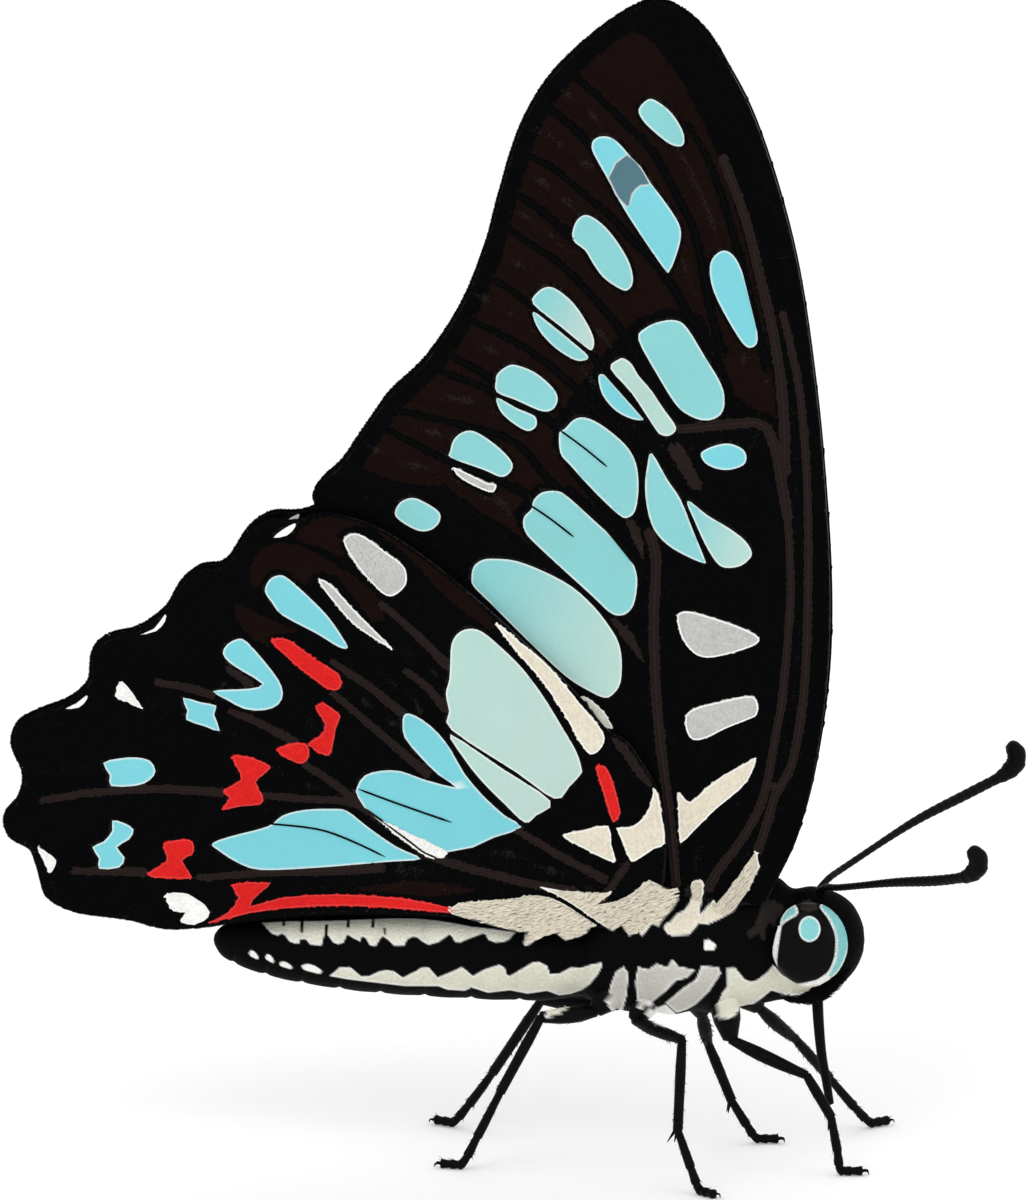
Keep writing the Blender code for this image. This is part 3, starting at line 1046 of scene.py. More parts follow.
# Three furred cream patches run over from the wings' roots onto the body.
BOOT = patch(
    Tint.CREAM, 6.65, 10.45, 6.75, 10.62, 6.95, 10.72, 7.3, 11.12, 7.55, 11.2, 7.85, 11.6, 7.93, 11.95, 7.85,
    12.3, 7.92, 12.52, 8.12, 12.62, 8.38, 12.55, 8.46, 12.4, 8.42, 12, 8.3, 11.4, 8.25, 11.02, 8.5, 11.27,
    8.87, 11.7, 9, 11.52, 9.5, 12.1, 10.1, 12.9, 10.8, 13.9, 10.95, 13.2, 10.5, 12.2, 9.8, 11.2, 9.2, 10.87,
    8.7, 10.64, 8.2, 10.62, 8, 10.38, 7.8, 10.15, 7.4, 10.12, 7, 10.1, 6.8, 10.2, steps=1
)
FLAP = patch(
    Tint.CREAM, -3.05, 11.25, -2.6, 11.55, -1, 11.7, 0, 11.77, 0.35, 11.88, 0.9, 11.93, 1.5, 11.84, 2, 11.64,
    2.5, 11.34, 3.05, 10.98, 3.62, 10.6, 3.35, 10.42, 3.2, 10.2, 2.75, 9.98, 2.5, 10.02, 2.25, 9.85, 2,
    10.02, 1.8, 10.2, 1.3, 10.14, 0.95, 9.95, 0.6, 9.68, 0.4, 9.62, 0.34, 9.75, 0.42, 10.12, 0.55, 10.23, 0,
    10.28, -1, 10.52, -2, 10.78, -2.9, 11.05, steps=1
)
COLLAR = patch(
    Tint.CREAM, 1.1, 12.25, 1.5, 12.27, 2.3, 12.15, 3, 12.06, 3.9, 12.02, 4.33, 12.1, 3.95, 11.72, 3.52,
    11.32, 4, 11.55, 4.6, 11.7, 5, 11.88, 5.4, 12.13, 5.8, 12.5, 6, 12.6, 6.35, 12.44, 6.7, 12.25, 7, 12.22,
    7.3, 12.28, 7.42, 12.05, 7.3, 11.7, 7.05, 11.3, 6.7, 10.95, 6.4, 10.52, 6.1, 10.65, 5.9, 10.35, 5.65,
    10.08, 5.45, 10.42, 5.3, 10.2, 5.1, 10.08, 4.9, 10.35, 4.65, 10.65, 4.55, 10.6, 4.38, 10.28, 4, 10.5,
    3.5, 10.85, 3, 11.2, 2.3, 11.65, 1.7, 12, steps=1
)

FOREWING_MARKS = (
    window(Tint.AQUA, 5.5, 47.2, 5.95, 47.65, 6.4, 47.5, 7, 47, 7.45, 46.3, 7.55, 45.8, 7.4, 45.55, 6.9,
        45.65, 6.2, 46.2, 5.7, 46.7),
    window(Tint.SKY, 3.4, 45.5, 3.5, 45.85, 3.9, 46, 4.4, 45.85, 5, 45.25, 6, 43.95, 6.8, 42.9, 7.3, 42.1,
        7.4, 41.5, 7.2, 40.7, 6.9, 40, 6.6, 40.15, 5, 42.5, 4.1, 44.1, 3.6, 45),
    window(Tint.SLATE, 4.98, 45.22, 6.03, 43.92, 5.6, 43.75, 5.25, 43.4, 4.98, 42.8, 4.12, 44.1, steps=2),
    window(Tint.AQUA, 2.55, 41.4, 2.65, 42.1, 3, 42.45, 3.4, 42.4, 4, 41.95, 4.6, 41.2, 5.1, 40.3, 5.25,
        39.5, 5, 39.1, 4.6, 39.2, 3.9, 39.7, 3.4, 40.4, 3.1, 40.9),
    window(Tint.AQUA, 0.78, 38.5, 0.95, 39, 1.4, 39.25, 1.9, 39.1, 2.6, 38.5, 3.2, 37.6, 3.5, 36.9, 3.42,
        36.45, 3.1, 36.6, 2, 37.5, fade=Tint.FROST),
    window(Tint.AQUA, 0.8, 38.15, 1.5, 37.65, 2.6, 36.75, 3.25, 36.15, 2.95, 35.95, 2.5, 36.05, 1.8, 36.5,
        1.2, 37.1, 0.85, 37.7),
    window(Tint.AQUA, -0.9, 35.1, -0.8, 35.4, -0.4, 35.7, 0, 35.75, 0.8, 35.45, 1.5, 34.9, 1.85, 34.4, 1.8,
        33.95, 1.5, 33.7, 1, 33.75, 0, 34.2, -0.85, 34.55),
    window(Tint.AQUA, -0.85, 34.3, -0.7, 33.7, -0.2, 33.2, 0.5, 32.8, 0.9, 33, 0.9, 33.4, 0.6, 33.6, 0,
        33.85),
    window(Tint.AQUA, -2.95, 31.9, -2.8, 32.4, -2.4, 32.75, -1.9, 32.8, -1.2, 32.4, -0.5, 31.8, -0.15, 31.3,
        -0.3, 30.9, -0.7, 30.75, -1.4, 31.05, -2.9, 31.6),
    patch(Tint.SILVER, -2.78, 31.2, -2.7, 30.9, -2.2, 30.5, -1.2, 30.05, -0.9, 30.2, -0.95, 30.45, -1.3,
        30.5, -2, 30.85),
    window(Tint.AQUA, -5.45, 29.1, -5.2, 29.6, -4.65, 29.8, -4.1, 29.6, -3.5, 29.2, -3.4, 28.85, -3.6, 28.5,
        -4, 28.3, -4.5, 28.35, -5.2, 28.75),
    window(Tint.SKY, 8.7, 39.9, 8.8, 40.5, 9.2, 40.85, 9.6, 40.8, 10, 40.3, 10.4, 39.2, 10.7, 38, 10.85,
        36.9, 10.6, 36.55, 10.2, 36.7, 9.5, 37.8, 8.9, 39),
    window(Tint.AQUA, 5.5, 36.9, 5.8, 37.4, 6.5, 37.7, 7.2, 37.75, 7.7, 37.4, 8.5, 36.1, 9.1, 35.1, 9.35,
        34.4, 9.3, 33.7, 8.9, 33.35, 8.3, 33.3, 7.6, 33.6, 7.1, 34.1, 6.3, 35.4),
    window(Tint.SKY, 3.7, 35.2, 3.9, 35.35, 4.2, 35.1, 4.9, 34.3, 5.6, 33.5, 5.7, 33.3, 5.2, 33.35, 4.5,
        33.7, 3.9, 34.4),
    window(Tint.MIST, 4.25, 35.6, 4.6, 36, 4.85, 36.05, 5.2, 35.8, 5.5, 35.3, 6.1, 34.6, 6.7, 33.7, 7.2,
        32.95, 6.9, 32.6, 6.5, 32.65, 6.2, 33, 5.2, 34.5),
    window(Tint.AQUA, 2.2, 32.9, 2.6, 33.3, 3.1, 33.4, 3.8, 33.1, 4.7, 32.4, 5.2, 31.8, 5.45, 31.1, 5.5,
        30.1, 5.35, 29.2, 5, 28.9, 4.6, 29.05, 3.5, 30.1, 2.4, 31.3, 2, 31.8, 1.95, 32.7),
    window(Tint.AQUA, 0.8, 29.7, 1.2, 30.05, 1.9, 30.1, 2.4, 29.8, 3.5, 28.8, 4.7, 27.7, 5.2, 27, 5.45, 26.2,
        5.35, 25.2, 5.1, 24.7, 4.7, 24.5, 4.2, 24.65, 3.4, 25.4, 1, 27.6, 0.4, 28.3, 0.35, 28.9, 0.7, 29.3),
    window(Tint.AQUA, -2, 26.2, -1.9, 26.7, -1.5, 27, -0.9, 27.05, 0, 26.95, 1.2, 26.5, 2.5, 25.8, 3.5, 24.9,
        4.2, 24, 4.6, 23.3, 4.75, 22.5, 4.7, 21.5, 4.4, 21, 4, 20.8, 3.3, 21.1, 2.2, 21.8, 0.5, 23.4, -1.2,
        25.1, -1.9, 25.8, fade=Tint.MIST),
    window(Tint.SKY, 8.3, 31.75, 8.6, 32, 9.2, 32.2, 9.7, 32.2, 10.2, 31.95, 10.35, 31.6, 10.2, 31.25, 9.6,
        31.05, 9, 31.1, 8.5, 31.35),
    window(Tint.AQUA, 6.1, 31.8, 5.9, 31.2, 5.8, 30.3, 5.9, 29.3, 6.2, 28.4, 6.8, 27.7, 7.6, 27.2, 8.45,
        26.85, 8.45, 27.1, 8, 28.2, 7.4, 29.7, 6.8, 30.6),
    window(Tint.AQUA, 7.7, 29.5, 7.85, 29.6, 8.6, 29, 9.6, 28.4, 10.3, 27.85, 10.6, 27.3, 10.4, 26.95, 10,
        26.7, 9.4, 26.65, 9, 26.9, 8.5, 27.7, 8, 28.8, fade=Tint.MIST),
    patch(Tint.SILVER, 7.25, 24.2, 7.3, 24.6, 7.7, 24.7, 8.4, 24.55, 9.8, 24.1, 10.7, 23.7, 10.95, 23.4,
        10.6, 23.1, 9.5, 22.75, 8.6, 22.6, 8, 22.8, 7.5, 23.4),
    patch(Tint.SILVER, 7.7, 20.1, 8.2, 20.4, 9, 20.6, 10.1, 20.85, 10.7, 20.85, 10.9, 20.4, 10.8, 20, 10.4,
        19.8, 9.4, 19.4, 8.6, 19, 8, 18.9, 7.7, 19.2, 7.6, 19.7),
    patch(Tint.CREAM, 7.28, 16.5, 7.5, 16.4, 7.85, 16.1, 8.5, 16.7, 9.3, 17.3, 10.3, 17.85, 10.8, 18.1, 10.6,
        17.4, 10.1, 16.7, 9, 15.8, 8, 14.8, 7.4, 14.3, 7.32, 15.3, steps=2),
    patch(Tint.IVORY, 2.9, 20.85, 3.3, 20.75, 3.95, 20.2, 4.2, 19.8, 4.36, 19.43, 4.1, 19.44, 3.85, 19.6,
        3.5, 20, 3.15, 20.45, steps=2),
    BOOT,
)
BROWN_FIELD = spots_of(
    5, 50.9, 6.2, 50.1, 7.4, 48.5, 8.6, 46.2, 9.6, 43.6, 10.4, 40.7, 11.1, 37.8, 11.5, 35.5, 11.7, 33.4,
    10.4, 33.9, 9.9, 34.3, 9.2, 36.2, 8.3, 38, 6.8, 38.3, 5.4, 37.8, 4.2, 36.6, 3.2, 35.2, 1.9, 33.6, 1.6,
    32.2, 2.4, 30.9, 3.6, 29.4, 2.4, 30.4, 0.9, 30.4, -0.2, 29, 0.7, 27.6, -0.4, 28.5, -1.9, 29.3, -3.2,
    30.4, -5.4, 30.3, -7.2, 31.3, -12, 33, -4, 52
)
BLACK_VEINS = veins(Tint.SOOT, 0.5, 0.3,
    (2.3, 49, 3.9, 47.6, 5, 46.5, 6, 45.5, 7, 43.8, 7.9, 42, 8.3, 40.5, 8.8, 38, 9.3, 36.3),
    (1.2, 47.4, 2, 46.9, 3.4, 45.6),
    (0.1, 45.3, 1.5, 44.7, 3, 43.5, 4.3, 42.4, 5.3, 41.3, 6.3, 40.3, 7.2, 39, 8, 37.6, 8.8, 36.3),
    (-0.1, 43.5, 1, 42.8, 2.6, 41.4),
    (-0.5, 42, 0.8, 41.1, 2, 40.3, 3.3, 39, 4.5, 37.6, 5.2, 36.5, 5.6, 35.7, 6.6, 33.9),
    (-1.3, 39.8, 0, 39, 0.8, 38.35, 3.3, 36.3, 3.9, 35.5, 5.8, 33.35, 6.6, 32.2),
    (-2.2, 37.9, -0.8, 37.2, 0.5, 36.5, 1.7, 35.6, 2.6, 34.8, 3.6, 33.7, 5, 32.4, 5.65, 31.4),
    (-3.2, 36.3, -1.8, 35.6, -0.9, 35),
    (-3.4, 35.5, -1.5, 34.8, -0.85, 34.42, 0.5, 33.85, 1.9, 33),
    (-5.6, 33.8, -2.5, 33.1, 0, 32.3, 1.5, 30.6, 3.6, 28.9, 5.6, 26.5),
    (-5.8, 32.9, -2.9, 31.4, -0.8, 30.6, 0.6, 29.9),
    (-7.6, 31.3, -5.5, 30.4, -3, 29.9, -0.5, 28),
    (7.7, 46.5, 8.6, 45, 9.5, 42.5, 10.2, 40, 10.9, 37.2, 11.3, 35.6))
SLITS = veins(Tint.SOOT, 0.14, 0.08,
    (1.9, 32.9, 3, 32.1, 4.1, 31.2),
    (0.6, 29.5, 1.5, 28.9, 2.6, 28.05),
    rib=0.05)
BROWN_VEINS = (
    *veins(Tint.BARK, 0.48, 0.42,
        (7.22, 12.4, 7.07, 14, 6.85, 16, 6.38, 20, 6.2, 24, 6.3, 27, 6, 28.2),
        (7.35, 32.9, 8, 32.95, 10, 33.15, 11, 33.1, 11.6, 32.2, 12.2, 29),
        (9.3, 45, 10.3, 42.3, 11, 39.5, 11.6, 37, 12, 34, 12.1, 31),
        rib=0.09),
    *veins(Tint.BARK, 0.42, 0.34,
        (12.2, 29, 12.35, 25.5, 12, 21, 11.75, 19.5, 11.3, 17, 10.94, 15.85, 10.5, 15, 10, 14.2, 9.45, 13.5,
         9, 12.9, 8.7, 12.3),
        (12, 38, 12.75, 34.5, 13.1, 30, 13.12, 25, 12.95, 21, 12.48, 18.1, 12.02, 17.05, 11.65, 16.4, 11.4,
         15.5, 11.1, 14.55, 10.9, 13.95),
        (12, 16.95, 11.75, 16.8, 11.3, 16.9),
        rib=0.09),
)
BROWN_WEDGES = (
    patch(Tint.BARK, 6.8, 32, 7.1, 32.2, 7.45, 32.1, 8.35, 30.4, 7.9, 30.2, steps=2),
    patch(Tint.BARK, 4.85, 29, 5.6, 28.4, 5.75, 27, 5.2, 28, steps=2),
    patch(Tint.BARK, 4.15, 24.45, 5.2, 23.8, 5.75, 22.4, 4.9, 23.4, steps=2),
)

HINDWING_MARKS = (
    patch(Tint.CREAM, -0.87, 24.05, -0.6, 24, 0.2, 23.3, 1.2, 22.5, 2.2, 21.4, 3, 20.4, 3.7, 19.6, 4, 19,
        3.8, 18.5, 3.4, 18.25, 3, 18.6, 2.2, 20, 1.2, 21.5, 0, 22.9),
    patch(Tint.CREAM, 2.1, 14.6, 3, 14.85, 4.15, 15.05, 4.3, 14.2, 4.5, 13.5, 4.2, 13.45, 3.1, 14, steps=2),
    patch(Tint.CREAM, 4.55, 14.95, 5.2, 15, 5.8, 15.5, 6.1, 16.2, 6.2, 16.75, 6.4, 16.4, 6.6, 15.3, 6.7,
        14.25, 6.2, 14, 5.35, 13.45, 5.1, 13.6, 4.8, 14.3, steps=2),
    patch(Tint.SCARLET, 3.6, 17.6, 3.8, 17.75, 4.05, 17.7, 4.35, 17.1, 4.6, 16.2, 4.7, 15.6, 4.4, 15.2, 4.2,
        15.6, 3.9, 16.6),
    window(Tint.MIST, -2.9, 23.2, -2.6, 23.7, -2.1, 23.9, -1.5, 23.75, -0.6, 23, 0.3, 22.1, 1.2, 20.9, 2,
        19.6, 2.7, 18.4, 2.95, 17.6, 2.9, 17.35, 2.4, 16.8, 1.75, 16.25, 0, 17.45, -2.9, 19.35, -3, 20.2,
        -3.15, 21, -3, 21.6, -2.95, 22.3, fade=Tint.FROST),
    window(Tint.MIST, -2.95, 19.15, -0.6, 17.6, 1.55, 16.15, 0.9, 15.5, 0.4, 15.2, -0.5, 16, -1.5, 17, -2.3,
        18, fade=Tint.FROST),
    window(Tint.SKY, -5.1, 19.6, -5.05, 20, -4.8, 20.1, -4.2, 19.8, -3.5, 19.2, -2.9, 18.4, -2.3, 17.35,
        -1.4, 16.3, -0.5, 15.5, 0.25, 15, -1, 14.5, -3.1, 13.85, -6.1, 15.2, -7.1, 16.3, -7.15, 16.8, -6.8,
        17.3, -6.1, 17.5, -5.2, 17.5, -4.2, 17.15, -2.7, 16.75, -3.5, 17.35, -4.3, 18.15, -5, 19, steps=2),
    patch(Tint.WHITE, -6.05, 15.25, -4.9, 14.75, -3.1, 13.85, -3.75, 13.55, -4.9, 14.25, steps=2),
    window(Tint.SKY, -13.7, 14.2, -13, 14.5, -11.2, 15, -10.5, 15.5, -9.5, 15.75, -8.3, 15.8, -7.6, 15.7,
        -6.7, 15, -5.4, 14.1, -4.3, 13.55, -6, 13.4, -9, 13.15, -11.5, 13.05, -12.6, 13.4, -13.4, 13.9),
    patch(Tint.SILVER, -7.75, 27.8, -7.6, 28.1, -7.2, 28.2, -6.7, 28, -5.9, 27.4, -5.1, 26.8, -4.9, 26.3, -5,
        25.8, -5.5, 25.4, -6, 25.5, -6.8, 26.3, -7.4, 27.1),
    patch(Tint.SILVER, -8.87, 26, -8.7, 26.13, -8.2, 25.8, -7.3, 24.8, -6.4, 23.9, -5.55, 23, -6.3, 23.4,
        -7.3, 24.1, -8.2, 25.1),
    window(Tint.SKY, -11.3, 25.6, -11.1, 26.1, -10.7, 26.3, -10.3, 26.2, -9.5, 25.5, -8.5, 24.5, -7.8, 23.5,
        -7.58, 23.05, -8, 23.1, -9, 23.7, -10.5, 24.5, -11, 25.1),
    window(Tint.SKY, -13.2, 22.8, -13, 23.2, -12.5, 23.45, -12.1, 23.3, -11.3, 22.4, -10.7, 21.6, -10.5, 21,
        -10.7, 20.5, -11.3, 20.25, -12.2, 20.3, -13, 20.7, -13.65, 21.1, -12.9, 21.17, -12, 21.22, -11.4,
        21.42, -12.3, 22, -12.9, 22.4, steps=2),
    window(Tint.SKY, -15, 20.8, -14.2, 20.6, -13.5, 20.45, -13.6, 20.05, -13.35, 19.3, -14, 19.5, -14.85,
        19.8, -14.8, 20.2, steps=2),
    window(Tint.SKY, -18.6, 17.85, -17.9, 18.05, -17.1, 18.1, -16.5, 17.95, -16.25, 17.5, -16.5, 17.1, -17.1,
        16.85, -18.25, 16.83, -18.3, 17.3, steps=2),
    window(Tint.SKY, -18.2, 15.25, -17.7, 15.15, -17.25, 14.85, -17.45, 14.4, -18, 14.05, -17.65, 13.6,
        -17.9, 13.15, -18.8, 13.1, -18.8, 13.55, -19.1, 14.05, -18.6, 14.3, -18.2, 14.8, steps=2),
    patch(Tint.WHITE, -17.75, 21.55, -18.05, 20.85, -17.5, 20.6, -16.85, 20.3, -17.2, 20.9, steps=2),
    patch(Tint.WHITE, -21.55, 14.05, -20.85, 13.6, -20.75, 13.3, -21, 12.9, -21.3, 13.4, steps=2),
    patch(Tint.WHITE, -15.8, 11.9, -15, 12, -14.2, 11.6, -13.8, 11.1, -14.1, 10.7, -14.8, 10.55, -15.1, 10.8,
        -14.9, 11.1, -15.5, 11.2, steps=2),
    window(Tint.WHITE, -10.9, 28, -10.5, 28.35, -9.95, 28.65, -9.95, 28.45, -10.3, 28.1, steps=2),
    window(Tint.WHITE, -17, 23.62, -16.3, 23.9, -15.8, 24.55, -15.8, 24.25, -16.2, 23.8, steps=2),
    window(Tint.WHITE, -20.3, 20.3, -19.8, 20.55, -19.35, 20.9, -19.35, 20.7, -19.7, 20.35, steps=2),
    patch(Tint.SCARLET, -11, 23.35, -10.6, 23.5, -10.1, 23.35, -9.2, 22.7, -8.1, 22, -7.85, 21.6, -7.95,
        21.2, -8.4, 21.2, -9.2, 21.7, -10.4, 22.7),
    patch(Tint.SCARLET, -9, 20.4, -8.7, 20.6, -8.2, 20.3, -7.9, 20, -8.1, 19.4, -8.3, 18.4, -8.6, 18.2, -9.4,
        18.7, -8.8, 19.1, -8.6, 19.6, -8.9, 20.1, steps=2),
    patch(Tint.SCARLET, -10.8, 18.45, -10.3, 18.7, -9.9, 18.8, -9.4, 18.7, -9.3, 18.2, -9.6, 17.85, -10.2,
        18, steps=2),
    patch(Tint.SCARLET, -12.8, 18.15, -12.3, 18.2, -11.6, 18, -11.05, 17.7, -11.4, 17.3, -11.7, 17, -11.4,
        16.4, -11.5, 16, -12.4, 15.9, -13.25, 15.75, -12.9, 16.3, -13.2, 16.65, -12.4, 17.1, -12.6, 17.7,
        steps=2),
    patch(Tint.SCARLET, -15.9, 14.2, -15.3, 14.4, -14.7, 14.4, -14.5, 14.1, -14.6, 13.7, -15.05, 13.45,
        -14.6, 12.7, -15.5, 12.65, -16.4, 12.7, -16.55, 12.95, -15.8, 13.4, -15.8, 13.8, steps=2),
    patch(Tint.SCARLET, -12.8, 12.4, -11.1, 12.48, -11.5, 12, -12, 11.4, -10.5, 11.8, -8, 11.95, -5, 11.75,
        -3, 11.35, -3, 11.1, -6, 11.35, -9, 11.4, -11.9, 11.1, -13.8, 10.62, -13, 11.1, -12.5, 11.8,
        steps=2),
    FLAP,
    COLLAR,
)
HINDWING_UMBER = (
    patch(Tint.UMBER, -9.9, 28, -9, 28.8, -7.8, 28.95, -4.5, 27.5, -2, 25.3, -0.9, 24.2, -1.3, 23.9, -3,
        25.2, -4.6, 26.9, -6.4, 28.4, -7.3, 28.5, -8, 28.1, -7.6, 27, -8.6, 27.5, steps=2),
    patch(Tint.UMBER, -12, 26, -11.7, 27.2, -10.9, 27.7, -9.6, 27.6, -7.2, 26.2, -5.8, 24.9, -6.4, 24.2, -8,
        26.2, -9.1, 26.4, -9.4, 25.8, -10.3, 26.5, -11.1, 26.5, -11.6, 25.8, steps=2),
    patch(Tint.UMBER, -12.6, 25, -11.9, 24.7, -10.3, 24, -9.7, 23.8, -10.4, 23.7, -11.1, 23.1, -12.4, 24,
        steps=2),
    patch(Tint.UMBER, -7.3, 12.2, -4.5, 12.55, -2.4, 12.3, -1.8, 12.1, -3.5, 11.85, -5.5, 12, steps=2),
    patch(Tint.BARK, 4.35, 19, 4.35, 18.85, 4.55, 18.5, 5, 17.9, 5.5, 17.2, 6.05, 16.7, 6.15, 16.85, 5.9,
        17.3, 5.5, 17.95, 5.1, 18.5, 4.75, 19, 4.5, 19.15, steps=1),
)
HINDWING_VEINS = veins(Tint.BARK, 0.4, 0.3,
    (-21.3, 16.2, -19, 16.55, -16, 16.7, -13.3, 16.55),
    (-11.3, 16.4, -9.4, 16.25, -7.2, 16, -5, 14.5, -3.6, 13.6, 0, 12.6, 2.6, 12.1),
    (-16.1, 21.5, -14.9, 21.3, -13.7, 20.95),
    (-12.8, 20.2, -11.4, 19.6, -10, 18.85),
    (-9.5, 17.8, -8.4, 17.1, -7, 16),
    (-8.2, 22.4, -6.7, 21.4, -5.2, 20.2),
    (-8.2, 21, -6.2, 19.3, -4, 17.4),
    (-12.9, 22.1, -12.4, 21.75, -12, 21.4),
    (-6, 25, -4.6, 23.8, -3.1, 22.3),
    (-4.9, 22, -4, 21.3, -3.2, 20.4),
    (-19.9, 13, -16.8, 12.95),
    (-14.2, 12.7, -11.5, 12.9, -8, 13, -6, 13.15),
    (0, 14.9, 1, 14.3, 2, 13.7, 4, 12.65),
    (5, 13.3, 4.3, 12.3, 3.6, 11.3),
    rib=0.06) + veins(Tint.SOOT, 0.12, 0.06,
    (-7.1, 16.7, -5.2, 16, -2.9, 15.2),
    (-11.3, 15.15, -9, 14.9, -7.5, 14.4, -5.9, 13.65),
    rib=0.05)
# fmt: on


def forewing_ground(spots: Rows, to_rim: Rows) -> Rows:
    """Ground colour of the forewing's shown face: umber between the veins, black at base and border.

    Args:
        spots: Spots of the chart.
        to_rim: How far each spot lies from the border.

    Returns:
        One colour for each spot.
    """
    colours = np.tile(Tint.SOOT.linear, (len(spots), 1))
    colours[inside(spots, np.array(BROWN_FIELD)) & (to_rim > 0.8)] = Tint.UMBER.linear
    for mark in BROWN_WEDGES:
        colours[inside(spots, mark.outline)] = mark.tint.linear
    return colours


def hindwing_ground(spots: Rows, to_rim: Rows) -> Rows:
    """Ground colour of the hindwing's shown face: black, with umber clouds clear of the border.

    Args:
        spots: Spots of the chart.
        to_rim: How far each spot lies from the border.

    Returns:
        One colour for each spot.
    """
    colours = np.tile(Tint.SOOT.linear, (len(spots), 1))
    for mark in HINDWING_UMBER:
        colours[inside(spots, mark.outline) & (to_rim > 0.15)] = mark.tint.linear
    return colours


# --- wings


@dataclass(frozen=True)
class SideChart:
    """The flat chart of the marks: the right side, seen from a little above and a little in front."""

    tilt: float = math.radians(12.0)
    turn: float = math.radians(4.2)

    def lay(self, spots: Rows, off: Rows) -> Rows:
        """Places on the left side for spots that stand so far off the middle plane.

        Args:
            spots: Spots of the chart.
            off: How far each stands off the middle plane.

        Returns:
            One place for each spot.
        """
        x = (spots[:, 0] + off * math.sin(self.turn)) / math.cos(self.turn)
        lean = off * math.cos(self.turn) + x * math.sin(self.turn)
        return np.stack([x, off, (spots[:, 1] + lean * math.sin(self.tilt)) / math.cos(self.tilt)], axis=1)

    def read(self, places: Rows) -> Rows:
        """The chart's spots for places of either side.

        Args:
            places: Places of the animal.

        Returns:
            One spot for each place.
        """
        x, off, z = places[:, 0], np.abs(places[:, 1]), places[:, 2]
        s = x * math.cos(self.turn) - off * math.sin(self.turn)
        lean = off * math.cos(self.turn) + x * math.sin(self.turn)
        return np.stack([s, z * math.cos(self.tilt) - lean * math.sin(self.tilt)], axis=1)


CHART = SideChart()
HINGE = (8.0, 12.0)
DORSUM_LINE = ((-9.25, 29.8), (7.0, 12.6))


def forewing_stand_off(spots: Rows) -> Rows:
    """Distance of the forewing's mid sheet from the middle plane.

    Args:
        spots: Spots of the chart.

    Returns:
        One distance for each spot.
    """
    away = np.hypot(spots[:, 0] - HINGE[0], spots[:, 1] - HINGE[1])
    at_tip, more_at_hinge, bow = 0.37, 1.43, 0.16
    bulge = bow * np.sin(math.pi * np.minimum(1.0, away / 40.0))
    return at_tip + more_at_hinge * (1 - ease(away / 22.0)) + bulge


def hindwing_stand_off(spots: Rows) -> Rows:
    """Distance of the hindwing's mid sheet from the middle plane: outside the forewing, round the abdomen.

    Args:
        spots: Spots of the chart.

    Returns:
        One distance for each spot.
    """
    s, t = spots[:, 0], spots[:, 1]
    (s0, t0), (s1, t1) = DORSUM_LINE
    below = ((s - s0) * (t1 - t0) - (t - t0) * (s1 - s0)) / math.hypot(s1 - s0, t1 - t0)
    outside, at_abdomen = 0.6, 2.05
    free = forewing_stand_off(spots) + outside * (1 - ease((below - 1.0) / 7.0))
    clasp = (1 - ease((t - 10.4) / 3.5)) * ease((3.5 - s) / 3.0) * ease((s + 15.0) / 4.0)
    return free + clasp * (at_abdomen - free)


@dataclass(frozen=True)
class HairPatch:
    """Long hair at a wing's base: where it grows, which way it lies in the chart, and how long it is."""

    mark: Mark
    way: Spot
    length: float


@dataclass(frozen=True)
class WingPlan:
    """One kind of wing, as its chart gives it."""

    name: str
    edge: tuple[Spot, ...]
    root: Spot
    stand_off: Callable[[Rows], Rows]
    ground: Callable[[Rows, Rows], Rows]
    marks: tuple[Mark, ...]
    veins: tuple[Vein, ...]
    fringed: tuple[Spot, ...]
    hairs: tuple[HairPatch, ...]


@dataclass
class Scaling:
    """Scales in a wing's chart: their roots, lie and colours, their size, and how high they sit."""

    spots: Rows
    lie: Rows
    tints: Rows
    size: Rows
    lift: Rows


